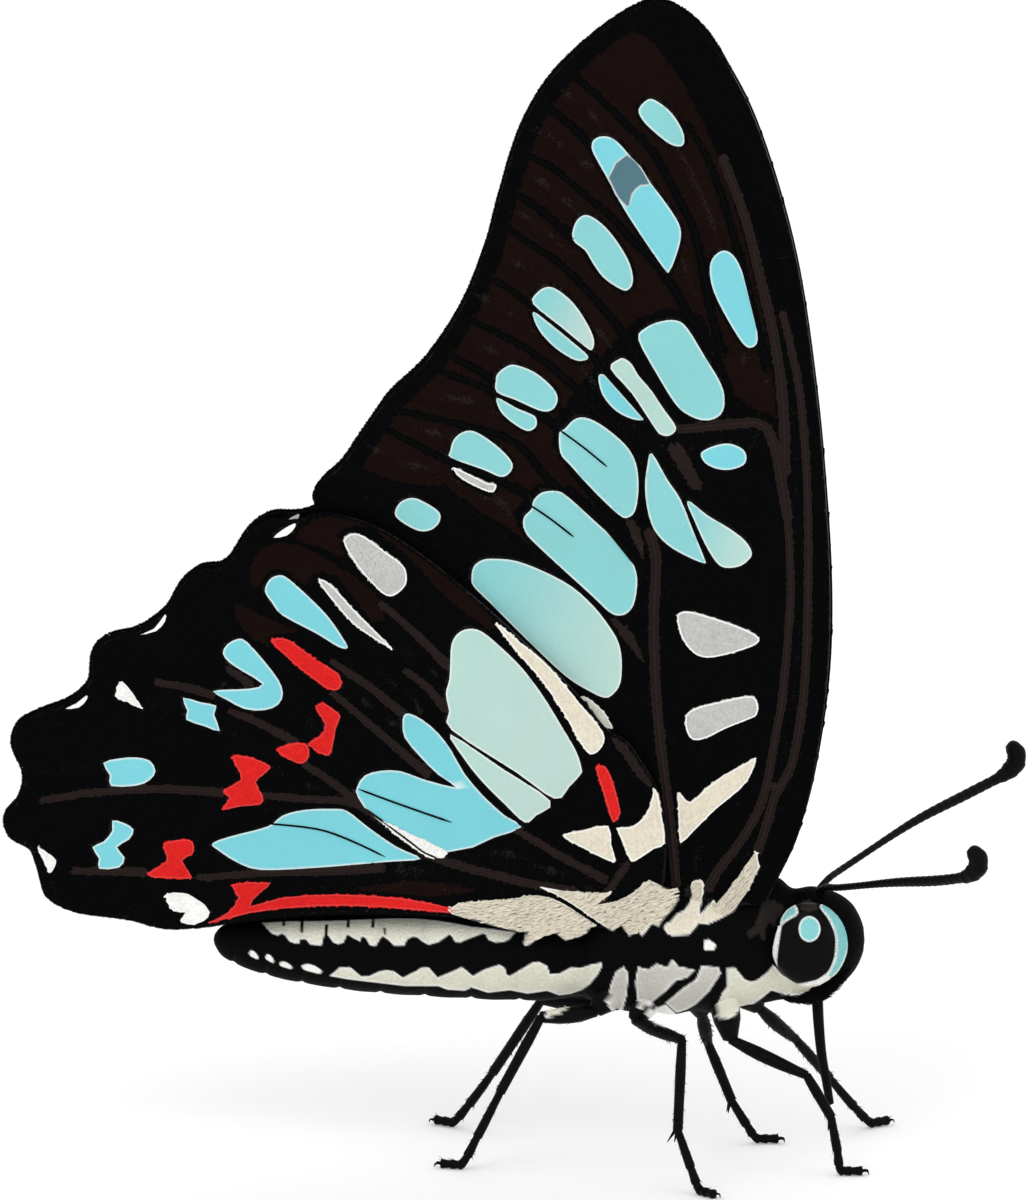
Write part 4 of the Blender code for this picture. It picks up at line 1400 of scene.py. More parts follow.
@dataclass
class WingPair:
    """Both wings of one kind: membrane, raised veins, scales, fringe and base hair."""

    plan: WingPlan
    coat: Coat
    seed: int
    thickness: float = 0.16
    inset: float = 0.12
    grid: float = 0.75
    sag: float = 0.09
    sag_reach: float = 1.3
    halo: float = 0.16
    rim_glow: float = 0.75
    row: float = 0.112
    across: float = 0.087
    uneven: Spot = (0.14, 0.16)
    tip: float = 0.95
    scale_size: Spot = (0.2, 0.122)
    hidden_coarser: float = 2.0
    clearance: float = 0.05
    hem_step: float = 0.075
    hem_size: float = 0.7
    hair_density: float = 190.0
    hair_width: float = 0.075
    fringe_step: float = 0.06
    fringe_length: float = 0.2
    fringe_fade: float = 4.0
    comb_reach: float = 0.3
    rib_sides: int = 8
    sheet_corner: Spot = (-24.0, 8.0)
    sheet_size: float = 50.0
    outline: Rows = field(init=False)
    ribs: list[Rows] = field(init=False)

    def __post_init__(self) -> None:
        """Draws the outline and the ribs once."""
        drawn = np.concatenate([spline(self.plan.edge, 6), [self.plan.root]])
        self.outline = drawn_in(drawn, self.inset)
        self.ribs = [vein.path for vein in self.plan.veins]

    def relief(self, spots: Rows) -> Rows:
        """How far the membrane sags between its veins and towards its border.

        Args:
            spots: Spots of the chart.

        Returns:
            The sag at each spot, below zero.
        """
        nearest = np.full(len(spots), 1e9)
        for path in self.ribs:
            nearest = np.minimum(nearest, gap_to(spots, path)[0])
        return -self.sag * ease(nearest / self.sag_reach)

    def colours(self, spots: Rows, face: Face, to_rim: Rows) -> Rows:
        """Ground and vein colours of one face, without the marks.

        Args:
            spots: Spots of the chart.
            face: Which face of the wing.
            to_rim: How far each spot lies from the border.

        Returns:
            One colour for each spot.
        """
        if face is Face.HIDDEN:
            return np.tile(Tint.SOOT.linear, (len(spots), 1))
        found = self.plan.ground(spots, to_rim)
        for mark in self.plan.marks:
            close = np.all(np.abs(spots - mark.outline.mean(axis=0)) < 6.0, axis=1)
            halo = gap_to(spots[close], mark.outline, closed=True)[0] < self.halo
            found[np.flatnonzero(close)[halo]] = Tint.SOOT.linear
        for vein, path in zip(self.plan.veins, self.ribs):
            away, along = gap_to(spots, path)
            width = vein.end_width + (vein.start_width - vein.end_width) * along
            found[away < width / 2] = vein.tint.linear
        return found

    def place(self, spots: Rows, side: Side, lift: Rows | float) -> Rows:
        """Places of chart spots on one wing, so far outwards from its mid sheet.

        Args:
            spots: Spots of the chart.
            side: The side of the animal.
            lift: How far outwards each stands.

        Returns:
            One place for each spot.
        """
        places = CHART.lay(spots, self.plan.stand_off(spots))
        places[:, 1] = side.value * (places[:, 1] + lift)
        return places

    def ways(self, spots: Rows, toward: Rows, side: Side, face: Face) -> tuple[Rows, Rows]:
        """The skin's outward way and a lie along it.

        Args:
            spots: Where, in the chart.
            toward: The lie's direction in the chart, one row each.
            side: The wing's side.
            face: Which face of it.

        Returns:
            The lie and the outward way, one row each.
        """
        step = 0.05
        here = self.place(spots, side, 0.0)
        lie = unit(self.place(spots + step * toward, side, 0.0) - here)
        ahead = self.place(spots + (step, 0.0), side, 0.0) - here
        up = self.place(spots + (0.0, step), side, 0.0) - here
        out = unit(np.cross(ahead, up))
        out *= np.sign(out[:, 1:2]) * side.value * face.value
        return lie, out

    def triangulate(self) -> tuple[Rows, Rows, Rows]:
        """Fills the outline with triangles that keep to every mark's edge.

        Returns:
            The flat corners, the triangles, and each triangle's mark or -1.
        """
        spots: list[Vector] = []
        loops: list[list[int]] = []
        edges: list[tuple[int, int]] = []

        def add(outline: Rows) -> list[int]:
            """Adds an outline's spots and gives their numbers."""
            spots.extend(Vector(spot) for spot in outline)
            return list(range(len(spots) - len(outline), len(spots)))

        loops.append(add(self.outline))
        for mark in self.plan.marks:
            loops.append(add(mark.outline))
        for mark in self.plan.marks:
            if mark.clear:
                loop = add(drawn_in(mark.outline, 0.11))
                edges.extend(zip(loop, loop[1:] + loop[:1]))
        low, high = self.outline.min(axis=0), self.outline.max(axis=0)
        columns, rows = (int(size / self.grid) for size in high - low)
        mesh = np.stack(np.meshgrid(np.arange(columns), np.arange(rows)), axis=-1).reshape(-1, 2)
        mesh = mesh * self.grid + low
        mesh[:, 0] += (np.arange(len(mesh)) // columns % 2) * self.grid / 2
        mesh = mesh[inside(mesh, self.outline)]
        mesh = mesh[gap_to(mesh, self.outline, closed=True)[0] > self.grid / 2]
        spots.extend(Vector(spot) for spot in mesh)
        flat, _, faces, *_ = delaunay_2d_cdt(spots, edges, loops, 1, 1e-5, False)
        corners = np.array([tuple(spot) for spot in flat])
        faces = np.array([list(face) for face in faces])
        middles = corners[faces].mean(axis=1)
        within = inside(middles, self.outline)
        marks = np.full(len(faces), -1)
        for index, mark in enumerate(self.plan.marks):
            marks[inside(middles, mark.outline)] = index
        return corners, faces[within], marks[within]

    def sheet(self, side: Side, flat: tuple[Rows, Rows, Rows], material: Material) -> Object:
        """The membrane: two faces a wing's thickness apart, closed round the rim, each with its pattern.

        Args:
            side: The wing's side.
            flat: The flat corners, triangles and marks, as triangulate gives them.
            material: The finish.

        Returns:
            The membrane as one closed mesh, coloured corner by corner.
        """
        spots, corners, marks = flat
        count = len(spots)
        lift = self.relief(spots)
        layers = [self.place(spots, side, lift + face.value * self.thickness / 2) for face in Face]
        middles = spots[corners].mean(axis=1)
        to_rim = gap_to(middles, self.outline, closed=True)[0]
        faces: list[tuple[int, ...]] = []
        tints: list[Rows] = []
        for number, face in enumerate(Face):
            colours = np.repeat(self.colours(middles, face, to_rim)[:, None, :], 3, axis=1)
            for index, mark in enumerate(self.plan.marks):
                chosen = np.flatnonzero(marks == index)
                if not len(chosen) or (face is Face.HIDDEN and not mark.clear):
                    continue
                at = spots[corners[chosen]].reshape(-1, 2)
                own = mark.colours(at)
                if mark.clear:
                    rim = gap_to(at, mark.outline, closed=True)[0] < 0.02
                    own[rim] += self.rim_glow * (Tint.WHITE.linear - own[rim])
                colours[chosen] = own.reshape(-1, 3, 3)
            turned = side.value * face.value > 0
            order = corners[:, ::-1] if turned else corners
            faces.extend(map(tuple, (order + number * count).tolist()))
            tints.append((colours[:, ::-1] if turned else colours).reshape(-1, 3))
        edges = {edge for a, b, c in corners.tolist() for edge in ((a, b), (b, c), (c, a))}
        open_edges = [(a, b) for a, b in edges if (b, a) not in edges]
        for a, b in sorted(open_edges):
            quad = (b, a, a + count, b + count)
            faces.append(quad[::-1] if side is Side.LEFT else quad)
        tints.append(np.tile(Tint.SOOT.linear, (4 * len(open_edges), 1)))
        mesh = bpy.data.meshes.new(f"{self.plan.name}_{side.word}_membrane")
        mesh.from_pydata(metres(np.concatenate(layers)).tolist(), [], faces)
        for polygon in mesh.polygons:
            polygon.use_smooth = True
        paint(mesh, np.concatenate(tints), "CORNER")
        mesh.set_sharp_from_angle(angle=math.radians(50))
        thing = new_object(mesh.name, mesh, material)
        drop_loose(mesh)
        return thing

    def scale_spots(self, coarser: float, chance: Chance) -> Rows:
        """Rows of scale roots in arcs about the hinge, a little uneven, inside the outline.

        Args:
            coarser: How many times wider the rows and gaps are than the fields say.
            chance: Where the random draws come from.

        Returns:
            The roots' spots in the chart.
        """
        away = self.outline - HINGE
        turns = np.unwrap(np.arctan2(away[:, 1], away[:, 0]))
        found = []
        for radius in np.arange(0.4, np.linalg.norm(away, axis=1).max(), self.row * coarser):
            step = self.across * coarser / radius
            angles = np.arange(turns.min() - step * chance.random(), turns.max(), step)
            angles = angles + chance.normal(0, self.uneven[1], len(angles)) * step
            reach = radius + chance.normal(0, self.uneven[0], len(angles)) * self.row
            found.append(np.stack([reach * np.cos(angles), reach * np.sin(angles)], axis=1) + HINGE)
        spots = np.concatenate(found)
        return spots[inside(spots, self.outline)]

    def scaling(self, face: Face) -> Scaling:
        """The scales of one face, clear of the windows and the rim, with each coloured mark hemmed.

        Args:
            face: Which face of the wing.

        Returns:
            The scales in the chart, the same for both sides of the animal.
        """
        coarser = 1.0 if face is Face.SHOWN else self.hidden_coarser
        chance = np.random.default_rng(self.seed + face.value)
        spots = self.scale_spots(coarser, chance)
        lie = self.combed(spots, face)
        reach = self.scale_size[0] * coarser
        centres, tips = spots + 0.5 * reach * lie, spots + self.tip * reach * lie
        tints = self.colours(centres, face, gap_to(centres, self.outline, closed=True)[0])
        keep = np.ones(len(spots), bool)
        for mark in self.plan.marks:
            if mark.clear:
                border = drawn_in(mark.outline, -self.clearance)
                keep &= ~np.any([inside(at, border) for at in (spots, centres, tips)], axis=0)
            elif face is Face.SHOWN:
                within = inside(centres, mark.outline)
                tints[within] = mark.tint.linear
                keep |= within
        tints = tints * (1 + 0.16 * (chance.random((len(spots), 1)) - 0.5))
        tints += 0.0008 * chance.random(tints.shape)
        if face is Face.SHOWN:
            hem, hem_lie, hem_tints = self.hems()
            hem_tips = hem + self.tip * self.hem_size * reach * hem_lie
            pairs = zip((spots, lie, tints, tips), (hem, hem_lie, hem_tints, hem_tips))
            spots, lie, tints, tips = (np.concatenate(pair) for pair in pairs)
        count = len(keep)
        keep = np.concatenate([keep, np.ones(len(spots) - count, bool)])
        hemmed = np.arange(len(spots)) >= count
        rim = drawn_in(self.outline, self.clearance)
        keep &= inside(spots, rim) & inside(tips, rim)
        size = coarser * np.where(hemmed, self.hem_size, 1.0)
        found = (spots, lie, tints, size, self.relief(spots) + 0.025 * hemmed)
        return Scaling(*(column[keep] for column in found))

    def hems(self) -> tuple[Rows, Rows, Rows]:
        """The small scales along the edges of coloured marks, paler there, and of veins.

        Returns:
            Their roots, their lie and their colours.
        """
        found = []
        beside = [drawn_in(mark.outline, -0.15) for mark in self.plan.marks]
        for mark in self.plan.marks:
            if mark.clear:
                continue
            loop = drawn_in(mark.outline, 0.05)
            spots = evenly(np.concatenate([loop, loop[:1]]), self.hem_step)[:-1]
            tints = np.tile(mark.tint.rim, (len(spots), 1))
            found.append((spots, unit(np.roll(spots, -1, axis=0) - spots), tints))
        for vein, rib in zip(self.plan.veins, self.ribs):
            if vein.tint is Tint.SOOT:
                continue
            path = evenly(rib, self.hem_step)
            along = unit(np.gradient(path, axis=0))
            half = np.linspace(vein.start_width, vein.end_width, len(path))[::-1, None] / 2 - 0.05
            for side in (-half, half):
                spots = path + side * np.stack([-along[:, 1], along[:, 0]], axis=1)
                free = ~np.any([inside(spots, edge) for edge in beside], axis=0)
                found.append((spots[free], along[free], np.tile(vein.tint.linear, (free.sum(), 1))))
        return tuple(np.concatenate(column) for column in zip(*found))

    def combed(self, spots: Rows, face: Face) -> Rows:
        """The lie of scales in the chart: away from the hinge, but along veins, marks and the border.

        Args:
            spots: Their roots.
            face: Which face they are on.

        Returns:
            One way for each root.
        """
        lie = unit(spots - HINGE)
        edges = [(mark.outline, True) for mark in self.plan.marks if mark.clear or face is Face.SHOWN]
        ribs = [(path, False) for path in self.ribs] if face is Face.SHOWN else []
        reach = self.comb_reach
        for line, closed in (*ribs, *edges, (self.outline, True)):
            close, gap = near(spots, line, reach, closed)
            steps = [gap_to(spots[close] + step, line, closed)[0] - gap for step in 0.01 * np.eye(2)]
            across = unit(-np.stack(steps, axis=1))
            along = np.stack([-across[:, 1], across[:, 0]], axis=1)
            along *= np.where(np.sum(along * lie[close], axis=1) < 0, -1.0, 1.0)[:, None]
            straight = np.sum(lie[close] * across, axis=1)
            straight = np.maximum(straight, 0) if closed else np.abs(straight)
            share = (ease((reach - gap) / (0.7 * reach)) * ease(straight / 0.25))[:, None]
            lie[close] = unit(lie[close] + share * (along - lie[close] - (0.1 if closed else 0.0) * across))
        return lie

    def scales(self, side: Side, face: Face, scaling: Scaling, material: Material) -> Object:
        """The scales of one face of one wing.

        Args:
            side: The wing's side.
            face: Which face of it.
            scaling: The scales in the chart.
            material: Their finish.

        Returns:
            The scales as one mesh.
        """
        spots, count = scaling.spots, len(scaling.spots)
        chance = np.random.default_rng(self.seed + 20 + face.value)
        lift = scaling.lift + face.value * (self.thickness / 2 + 0.004)
        lie, out = self.ways(spots, scaling.lie, side, face)
        place = self.place(spots, side, lift)
        length = self.scale_size[0] * scaling.size * (0.88 + 0.24 * chance.random(count))
        width = self.scale_size[1] * scaling.size * (0.9 + 0.25 * chance.random(count))
        roots = Roots(place, lie, out, length, width, scaling.tints, self.unwrap(place))
        name = f"{self.plan.name}_{side.word}_scales_{face.name.lower()}"
        return self.coat.grow(name, SCALE, roots, material, 0.12, 0.06, self.seed)

    def unwrap(self, place: Rows) -> Rows:
        """Each root's place on the wing laid flat."""
        flat = place[:, (0, 2)]
        return 0.02 + 0.95 * (flat - self.sheet_corner) / self.sheet_size

    def raised_veins(self, side: Side, tree: ShapeTree, material: Material) -> Object:
        """The ribs of both faces, thinning towards the border.

        Args:
            side: The side of the animal.
            tree: The tree that rounds the ribs.
            material: The finish.

        Returns:
            The ribs as one mesh.
        """
        rows, radii, tints, edges = [], [], [], []
        count = 0
        for vein, path in zip(self.plan.veins, self.ribs):
            path = path[inside(path, self.outline)]
            if len(path) < 3:
                continue
            reach = np.linalg.norm(path - HINGE, axis=1)
            radius = vein.rib * (1.15 - 0.5 * reach / 40.0)
            radius[[0, -1]] *= 0.35
            for face in Face:
                rows.append(self.place(path, side, face.value * self.thickness / 2))
                radii.append(radius * (1.0 if face is Face.SHOWN else 0.8))
                colour = vein.tint if face is Face.SHOWN else Tint.SOOT
                tints.append(np.tile(colour.linear, (len(path), 1)))
                edges.extend((count + i, count + i + 1) for i in range(len(path) - 1))
                count += len(path)
        mesh = bpy.data.meshes.new("vein_lines")
        mesh.from_pydata(metres(np.concatenate(rows)).tolist(), edges, [])
        store(mesh, "radius", "FLOAT", np.concatenate(radii) * MM)
        paint(mesh, np.concatenate(tints))
        inputs = {"Sides": self.rib_sides, "Material": material}
        return tree.grow(f"{self.plan.name}_{side.word}_veins", mesh, inputs, ("tint",))

    def fringe(self, side: Side, material: Material) -> Object:
        """The fringe of narrow scales on the wing's border.

        Args:
            side: The side of the animal.
            material: The finish.

        Returns:
            The fringe as one mesh.
        """
        chance = np.random.default_rng(self.seed + 30)
        border = spline(self.plan.fringed, 6)
        drawn = evenly(border, self.fringe_step)
        along = unit(np.gradient(drawn, axis=0))
        middle = self.outline.mean(axis=0)
        outwards = np.stack([along[:, 1], -along[:, 0]], axis=1)
        outwards *= np.where(inside(drawn + 0.4 * outwards, self.outline), -1.0, 1.0)[:, None]
        outwards = unit(outwards + 0.35 * unit(drawn - middle) + chance.normal(0, 0.06, drawn.shape))
        spots = drawn - (self.inset + 0.05) * outwards
        lie, out = self.ways(spots, outwards, side, Face.SHOWN)
        tints = np.tile(Tint.SOOT.linear, (len(spots), 1)) * (1 + chance.random((len(spots), 1)))
        place = self.place(spots, side, chance.normal(0, 0.02, len(spots)))
        length = self.fringe_length * (0.88 + 0.2 * chance.random(len(spots)))
        from_end = self.fringe_step * np.minimum(np.arange(len(spots)), np.arange(len(spots))[::-1])
        length *= 0.35 + 0.65 * ease(from_end / self.fringe_fade)
        roots = Roots(place, lie, out, length, np.full(len(spots), 0.1), tints, self.unwrap(place))
        name = f"{self.plan.name}_{side.word}_fringe"
        return self.coat.grow(name, SCALE, roots, material, 0.0, 0.06, self.seed)

    def base_hair(self, side: Side, material: Material) -> Object:
        """The long hair at the wing's base.

        Args:
            side: The side of the animal.
            material: The finish.

        Returns:
            The hair as one mesh.
        """
        chance = np.random.default_rng(self.seed + 40)
        spots, ways, lengths, tints = [], [], [], []
        for hair in self.plan.hairs:
            edge = hair.mark.outline
            low, high = edge.min(axis=0), edge.max(axis=0)
            tried = low + chance.random((int(self.hair_density * np.prod(high - low)), 2)) * (high - low)
            way = unit(np.array([hair.way]) + chance.normal(0, 0.1, tried.shape))
            length = hair.length * (0.7 + 0.6 * chance.random(len(tried)))
            tips = tried + 0.9 * length[:, None] * way
            kept = inside(tried, edge) & inside(tips, drawn_in(edge, 0.04))
            spots.append(tried[kept])
            ways.append(way[kept])
            lengths.append(length[kept])
            tints.append(hair.mark.tint.linear * (0.84 + 0.2 * chance.random((kept.sum(), 1))))
        at = np.concatenate(spots)
        lie, out = self.ways(at, np.concatenate(ways), side, Face.SHOWN)
        place = self.place(at, side, self.thickness / 2 + 0.02)
        width = self.hair_width * (0.8 + 0.5 * chance.random(len(at)))
        length, tint = np.concatenate(lengths), np.concatenate(tints)
        roots = Roots(place, lie, out, length, width, tint, self.unwrap(place))
        name = f"{self.plan.name}_{side.word}_hair"
        return self.coat.grow(name, HAIR, roots, material, 0.16, 0.12, self.seed)


def drop_loose(mesh: Mesh) -> None:
    """Removes points that no face uses.

    Args:
        mesh: The mesh.
    """
    shape = bmesh.new()
    shape.from_mesh(mesh)
    bmesh.ops.delete(shape, geom=[corner for corner in shape.verts if not corner.link_faces], context="VERTS")
    shape.to_mesh(mesh)
    shape.free()


def vein_tree() -> ShapeTree:
    """The tree that gives vein lines their round section, by the radius stored on them.

    Returns:
        The tree, with the inputs Sides and Material.
    """
    tree = ShapeTree("raised_veins")
    sides = tree.input("Sides", "Int")
    line = tree.node("GeometryNodeMeshToCurve", None, Mesh=tree.source.outputs[0])
    ring = tree.node("GeometryNodeCurvePrimitiveCircle", None, Resolution=sides, Radius=1.0)
    wires = {"Profile Curve": ring.outputs[0], "Fill Caps": True, "Scale": tree.stored("radius", "FLOAT")}
    ribs = tree.node("GeometryNodeCurveToMesh", None, Curve=line.outputs[0], **wires)
    smooth = tree.node("GeometryNodeSetShadeSmooth", None, Geometry=ribs.outputs[0])
    tree.end(smooth.outputs[0])
    return tree


FOREWING = WingPlan(
    name="forewing",
    edge=(*FOREWING_COSTA, *FOREWING_MARGIN, *FOREWING_DORSUM),
    root=FOREWING_ROOT,
    stand_off=forewing_stand_off,
    ground=forewing_ground,
    marks=FOREWING_MARKS,
    veins=(*BLACK_VEINS, *SLITS, *BROWN_VEINS),
    fringed=(*FOREWING_COSTA[-4:], *FOREWING_MARGIN, *FOREWING_DORSUM[:2]),
    hairs=(HairPatch(BOOT, (0.62, 0.78), 0.45),),
)
HINDWING = WingPlan(
    name="hindwing",
    edge=(*HINDWING_COSTA, *HINDWING_LOBES, *HINDWING_INNER_MARGIN),
    root=HINDWING_ROOT,
    stand_off=hindwing_stand_off,
    ground=hindwing_ground,
    marks=HINDWING_MARKS,
    veins=HINDWING_VEINS,
    fringed=(*HINDWING_COSTA[-2:], *HINDWING_LOBES, *HINDWING_INNER_MARGIN[:-2]),
    hairs=(HairPatch(FLAP, (-0.98, -0.2), 0.45), HairPatch(COLLAR, (-0.95, -0.3), 0.4)),
)


# --- body

# fmt: off
SECTIONS = (  # along, lowest, highest, half width: abdomen, thorax, neck and head
    (-13.65, 9.6, 10.2, 0.3), (-13.2, 9, 10.65, 0.75), (-12, 8.5, 10.95, 1.15), (-10, 8, 11.15, 1.45),
    (-7, 7.6, 11.3, 1.7), (-3.5, 7.4, 11.4, 1.9), (0, 7.3, 11.5, 2), (1.8, 7.35, 11.5, 1.85),
    (2.9, 7.5, 11.35, 1.65), (3.6, 7.25, 12, 2.05), (4.8, 6.95, 12.75, 2.5), (6.4, 6.8, 13.3, 2.8),
    (8.1, 6.85, 13.45, 2.85), (9.5, 6.95, 13.25, 2.5), (10.4, 7.2, 13.15, 2.1), (11.2, 7.3, 13.35, 1.8),
    (11.9, 7.45, 13.2, 1.5), (12.5, 7.5, 12.75, 1.5), (13.4, 7.65, 12.85, 1.6), (14.4, 8, 12.6, 1.5),
    (15.1, 8.6, 12.15, 1.25), (15.5, 9.2, 11.55, 0.85), (15.72, 9.8, 10.95, 0.4),
)
BODY_MARKS = (
    patch(Tint.IVORY, -11.45, 10.64, -11, 10.66, -10.34, 10.7, -8.5, 10.72, -6.5, 10.8, -5.5, 10.84, -4.5,
        10.83, -3.8, 10.77, -3, 10.66, -2, 10.47, -1, 10.36, -0.02, 10.22, -0.15, 10.12, -0.3, 9.93, -0.55,
        9.8, -0.95, 9.78, -1.25, 9.9, -1.35, 10.12, -1.5, 10.18, -2.3, 9.88, -2.5, 9.78, -2.75, 9.8, -2.88,
        10.05, -3, 10.14, -3.5, 9.79, -3.94, 9.67, -4.22, 9.81, -4.46, 10.01, -4.67, 10.03, -4.91, 9.91,
        -5.05, 9.63, -5.5, 9.63, -5.74, 9.88, -6, 10.05, -6.12, 9.95, -6.33, 9.6, -6.57, 9.63, -6.78, 9.98,
        -6.95, 10.05, -7.03, 9.82, -7.37, 9.98, -7.6, 10.15, -7.78, 9.77, -8, 9.68, -8.23, 9.77, -8.44,
        10.05, -8.57, 10.19, -8.65, 10.12, -8.78, 9.63, -9.27, 9.67, -9.47, 9.91, -9.72, 9.9, -9.8, 9.72,
        -10, 9.74, -10.2, 9.8, -10.4, 10.07, -10.55, 10.17, -10.75, 10.07, -11, 10.15, steps=1),
    patch(Tint.SAND, -8.39, 8.25, -8.19, 8.41, -7.95, 8.63, -7.47, 8.64, -6.98, 8.23, -6.6, 8.24, -6.19,
        8.44, -5.84, 8.51, -5.5, 8.46, -5.1, 8.17, -4.46, 8.49, -4.25, 8.63, -3.94, 8.64, -3.53, 8.18, -2.76,
        8.5, -2.43, 8.66, -1.94, 8.25, -1.4, 8.55, -0.75, 8.76, -0.52, 8.64, -0.42, 8.32, -0.28, 8.25, 0.09,
        8.46, 0.75, 8.86, 1.03, 8.9, 1.4, 8.71, 1.52, 8.34, 1.96, 8.36, 2.48, 8.64, 2.94, 8.62, 3.41, 8.78,
        3.83, 8.86, 3.88, 8.74, 3.69, 8.36, 3.32, 7.9, 2.94, 7.62, 2.48, 7.45, 1.96, 7.38, 1.4, 7.59, 0.51,
        7.46, -0.28, 7.62, -1.26, 7.5, -2, 7.74, -2.3, 7.59, -3.1, 7.64, -3.5, 7.8, -5, 7.8, -7.57, 8.1,
        steps=1),
    *(patch(Tint.WHITE, s - a, t + 0.5 * b, s - 0.5 * a, t + b, s + 0.3 * a, t + 0.6 * b, s + a, t - 0.4 * b,
            s + 0.8 * a, t - b, s + 0.1 * a, t - 0.7 * b, s - 0.8 * a, t - 0.2 * b, steps=2)
      for s, t, a, b in ((-11.83, 9.2, 0.2, 0.2), (-11.1, 9.03, 0.18, 0.2), (-10.38, 8.73, 0.28, 0.17),
                         (-9.2, 8.57, 0.44, 0.22))),
    *(patch(Tint.SOOT, s - 0.07, top, s - 0.06, low, s + 0.06, low, s + 0.07, top, steps=1)
      for s, low, top in ((-10.48, 10.5, 10.8), (-9.65, 10.2, 10.9), (-7.57, 10.43, 10.9),
                          (-6.45, 10.42, 10.95), (-5.91, 10.12, 10.42), (-8.55, 10.1, 10.58))),
    FLAP,
    COLLAR,
    BOOT,
    patch(Tint.ASH, 4.12, 7, 4.3, 6.68, 4.8, 6.7, 4.98, 7.4, 5.05, 8.4, 4.85, 8.68, 4.5, 8.45, 4.25, 7.8,
        steps=1),
    patch(Tint.ASH, 5.38, 8, 5.5, 8.68, 5.95, 8.55, 6.35, 8.82, 6.8, 8.65, 7.05, 9.02, 7.3, 8.7, 8.05, 8.55,
        7.7, 8.2, 7.2, 8.08, 6.8, 7.65, 6.3, 7.25, 5.8, 6.78, 5.5, 6.8, steps=1),
    patch(Tint.ASH, 6.75, 7.05, 7.5, 7.7, 8.1, 8.1, 8.35, 8.7, 9.1, 8.68, 9.22, 8.4, 8.7, 7.6, 8.1, 7, 7.7,
        6.75, 7.25, 6.6, steps=1),
    patch(Tint.WHITE, 5.75, 6.6, 6.75, 6.98, 7.2, 6.55, 7.5, 6.35, 7.05, 5.9, 6.3, 6.1, steps=1),
    patch(Tint.WHITE, 8.45, 9.5, 8.48, 9.85, 8.65, 9.93, 9.02, 9.68, 8.9, 9.46, 8.6, 9.42, steps=1),
    patch(Tint.SAND, 9.02, 6.45, 9.1, 7, 9.3, 7.5, 9.52, 7.8, 9.5, 8.6, 9.85, 8.65, 10.3, 8.1, 10.6, 8, 10.9,
        8.1, 11.35, 8.45, 11.6, 8.75, 12, 8.3, 12.5, 8, 13.2, 8.1, 14, 8.3, 13.5, 7.8, 13, 7.52, 12.6, 7.38,
        12.1, 7.42, 11.5, 7.62, 11, 7.2, 10.5, 6.85, 10.1, 6.9, 9.95, 6.5, 9.6, 6.32, 9.25, 6.35, steps=1),
    patch(Tint.CHARCOAL, 10.38, 10.25, 10.75, 10.55, 10.95, 11.1, 11.1, 11.75, 11.25, 11.87, 11.36, 11.8,
        11.42, 11.6, 11.65, 11.75, 11.73, 11.55, 11.95, 11.53, 12.08, 11.35, 11.9, 11, 11.7, 10.8, 11.66,
        10.5, 11.54, 10.5, 11.48, 10.7, 11.3, 10.6, 11.24, 10.3, 11.24, 9.9, 11.06, 9.9, 11, 10.15, 10.75,
        10.1, 10.5, 9.95, steps=1),
    patch(Tint.CHARCOAL, 12.8, 11.25, 12.9, 11.65, 13.25, 11.75, 13.45, 11.35, 13.2, 11.3, steps=1),
    patch(Tint.SAND, 1.3, 6.4, 1.5, 7, 2.6, 7.1, 2.2, 6.75, 1.8, 6.5, steps=1),
)
# The pale ring round each eye and its dark cap, with a painted highlight on the dome.
EYE_MARKS_AND_HIGHLIGHT = (
    patch(Tint.SAND, 11.6, 8.65, 11.74, 8.6, 11.9, 8.2, 12.2, 8.02, 12.6, 7.9, 13, 7.97, 13.5, 8.08, 13.9,
        8.3, 14.1, 8.15, 13.6, 7.85, 13, 7.5, 12.5, 7.3, 11.5, 7.5, 11.3, 8.3, steps=1),
    patch(Tint.WHITE, 11.54, 8.6, 11.54, 9.1, 11.6, 9.6, 11.72, 10.1, 11.86, 10.55, 11.95, 10.52, 11.87, 10,
        11.8, 9.5, 11.75, 9, 11.78, 8.6, 11.96, 8.17, 12.3, 7.98, 12.6, 7.89, 13.1, 7.96, 13.6, 8.12, 14,
        8.42, 14.2, 8.6, 14.35, 8.4, 14, 8.14, 13.6, 7.95, 13.1, 7.86, 12.6, 7.79, 12.25, 7.86, 11.86, 8.08,
        11.66, 8.5, steps=1),
    patch(Tint.AQUA, 11.93, 10.5, 12, 10.9, 12.3, 11.33, 12.42, 11.37, 12.53, 11.5, 12.65, 11.35, 12.7,
        11.15, 12.62, 11, 12.45, 10.9, 12.2, 10.75, 12.02, 10.6, steps=2),
    patch(Tint.AQUA, 13.68, 11.35, 13.9, 11.5, 14.3, 11.52, 14.42, 11.42, 14.6, 11.1, 14.8, 10.75, 14.93,
        10.4, 15, 10, 14.93, 9.5, 14.75, 8.95, 14.45, 8.45, 14.1, 8.18, 13.95, 8.3, 14.15, 8.65, 14.33, 9.15,
        14.38, 9.8, 14.33, 10.2, 14.2, 10.55, 13.98, 10.95, steps=2),
    # Painted highlight: a pale turquoise reflection painted into the dome's colour.
    patch(Tint.AQUA, 12.72, 10.4, 12.85, 10.8, 13.2, 10.98, 13.55, 10.8, 13.7, 10.4, 13.55, 9.98, 13.2, 9.82,
        12.85, 9.98, steps=3),
    patch(Tint.CHARCOAL, 12.75, 11.3, 12.9, 11.6, 13.2, 11.7, 13.45, 11.6, 13.6, 11.3, 13.2, 11.15, steps=1),
)
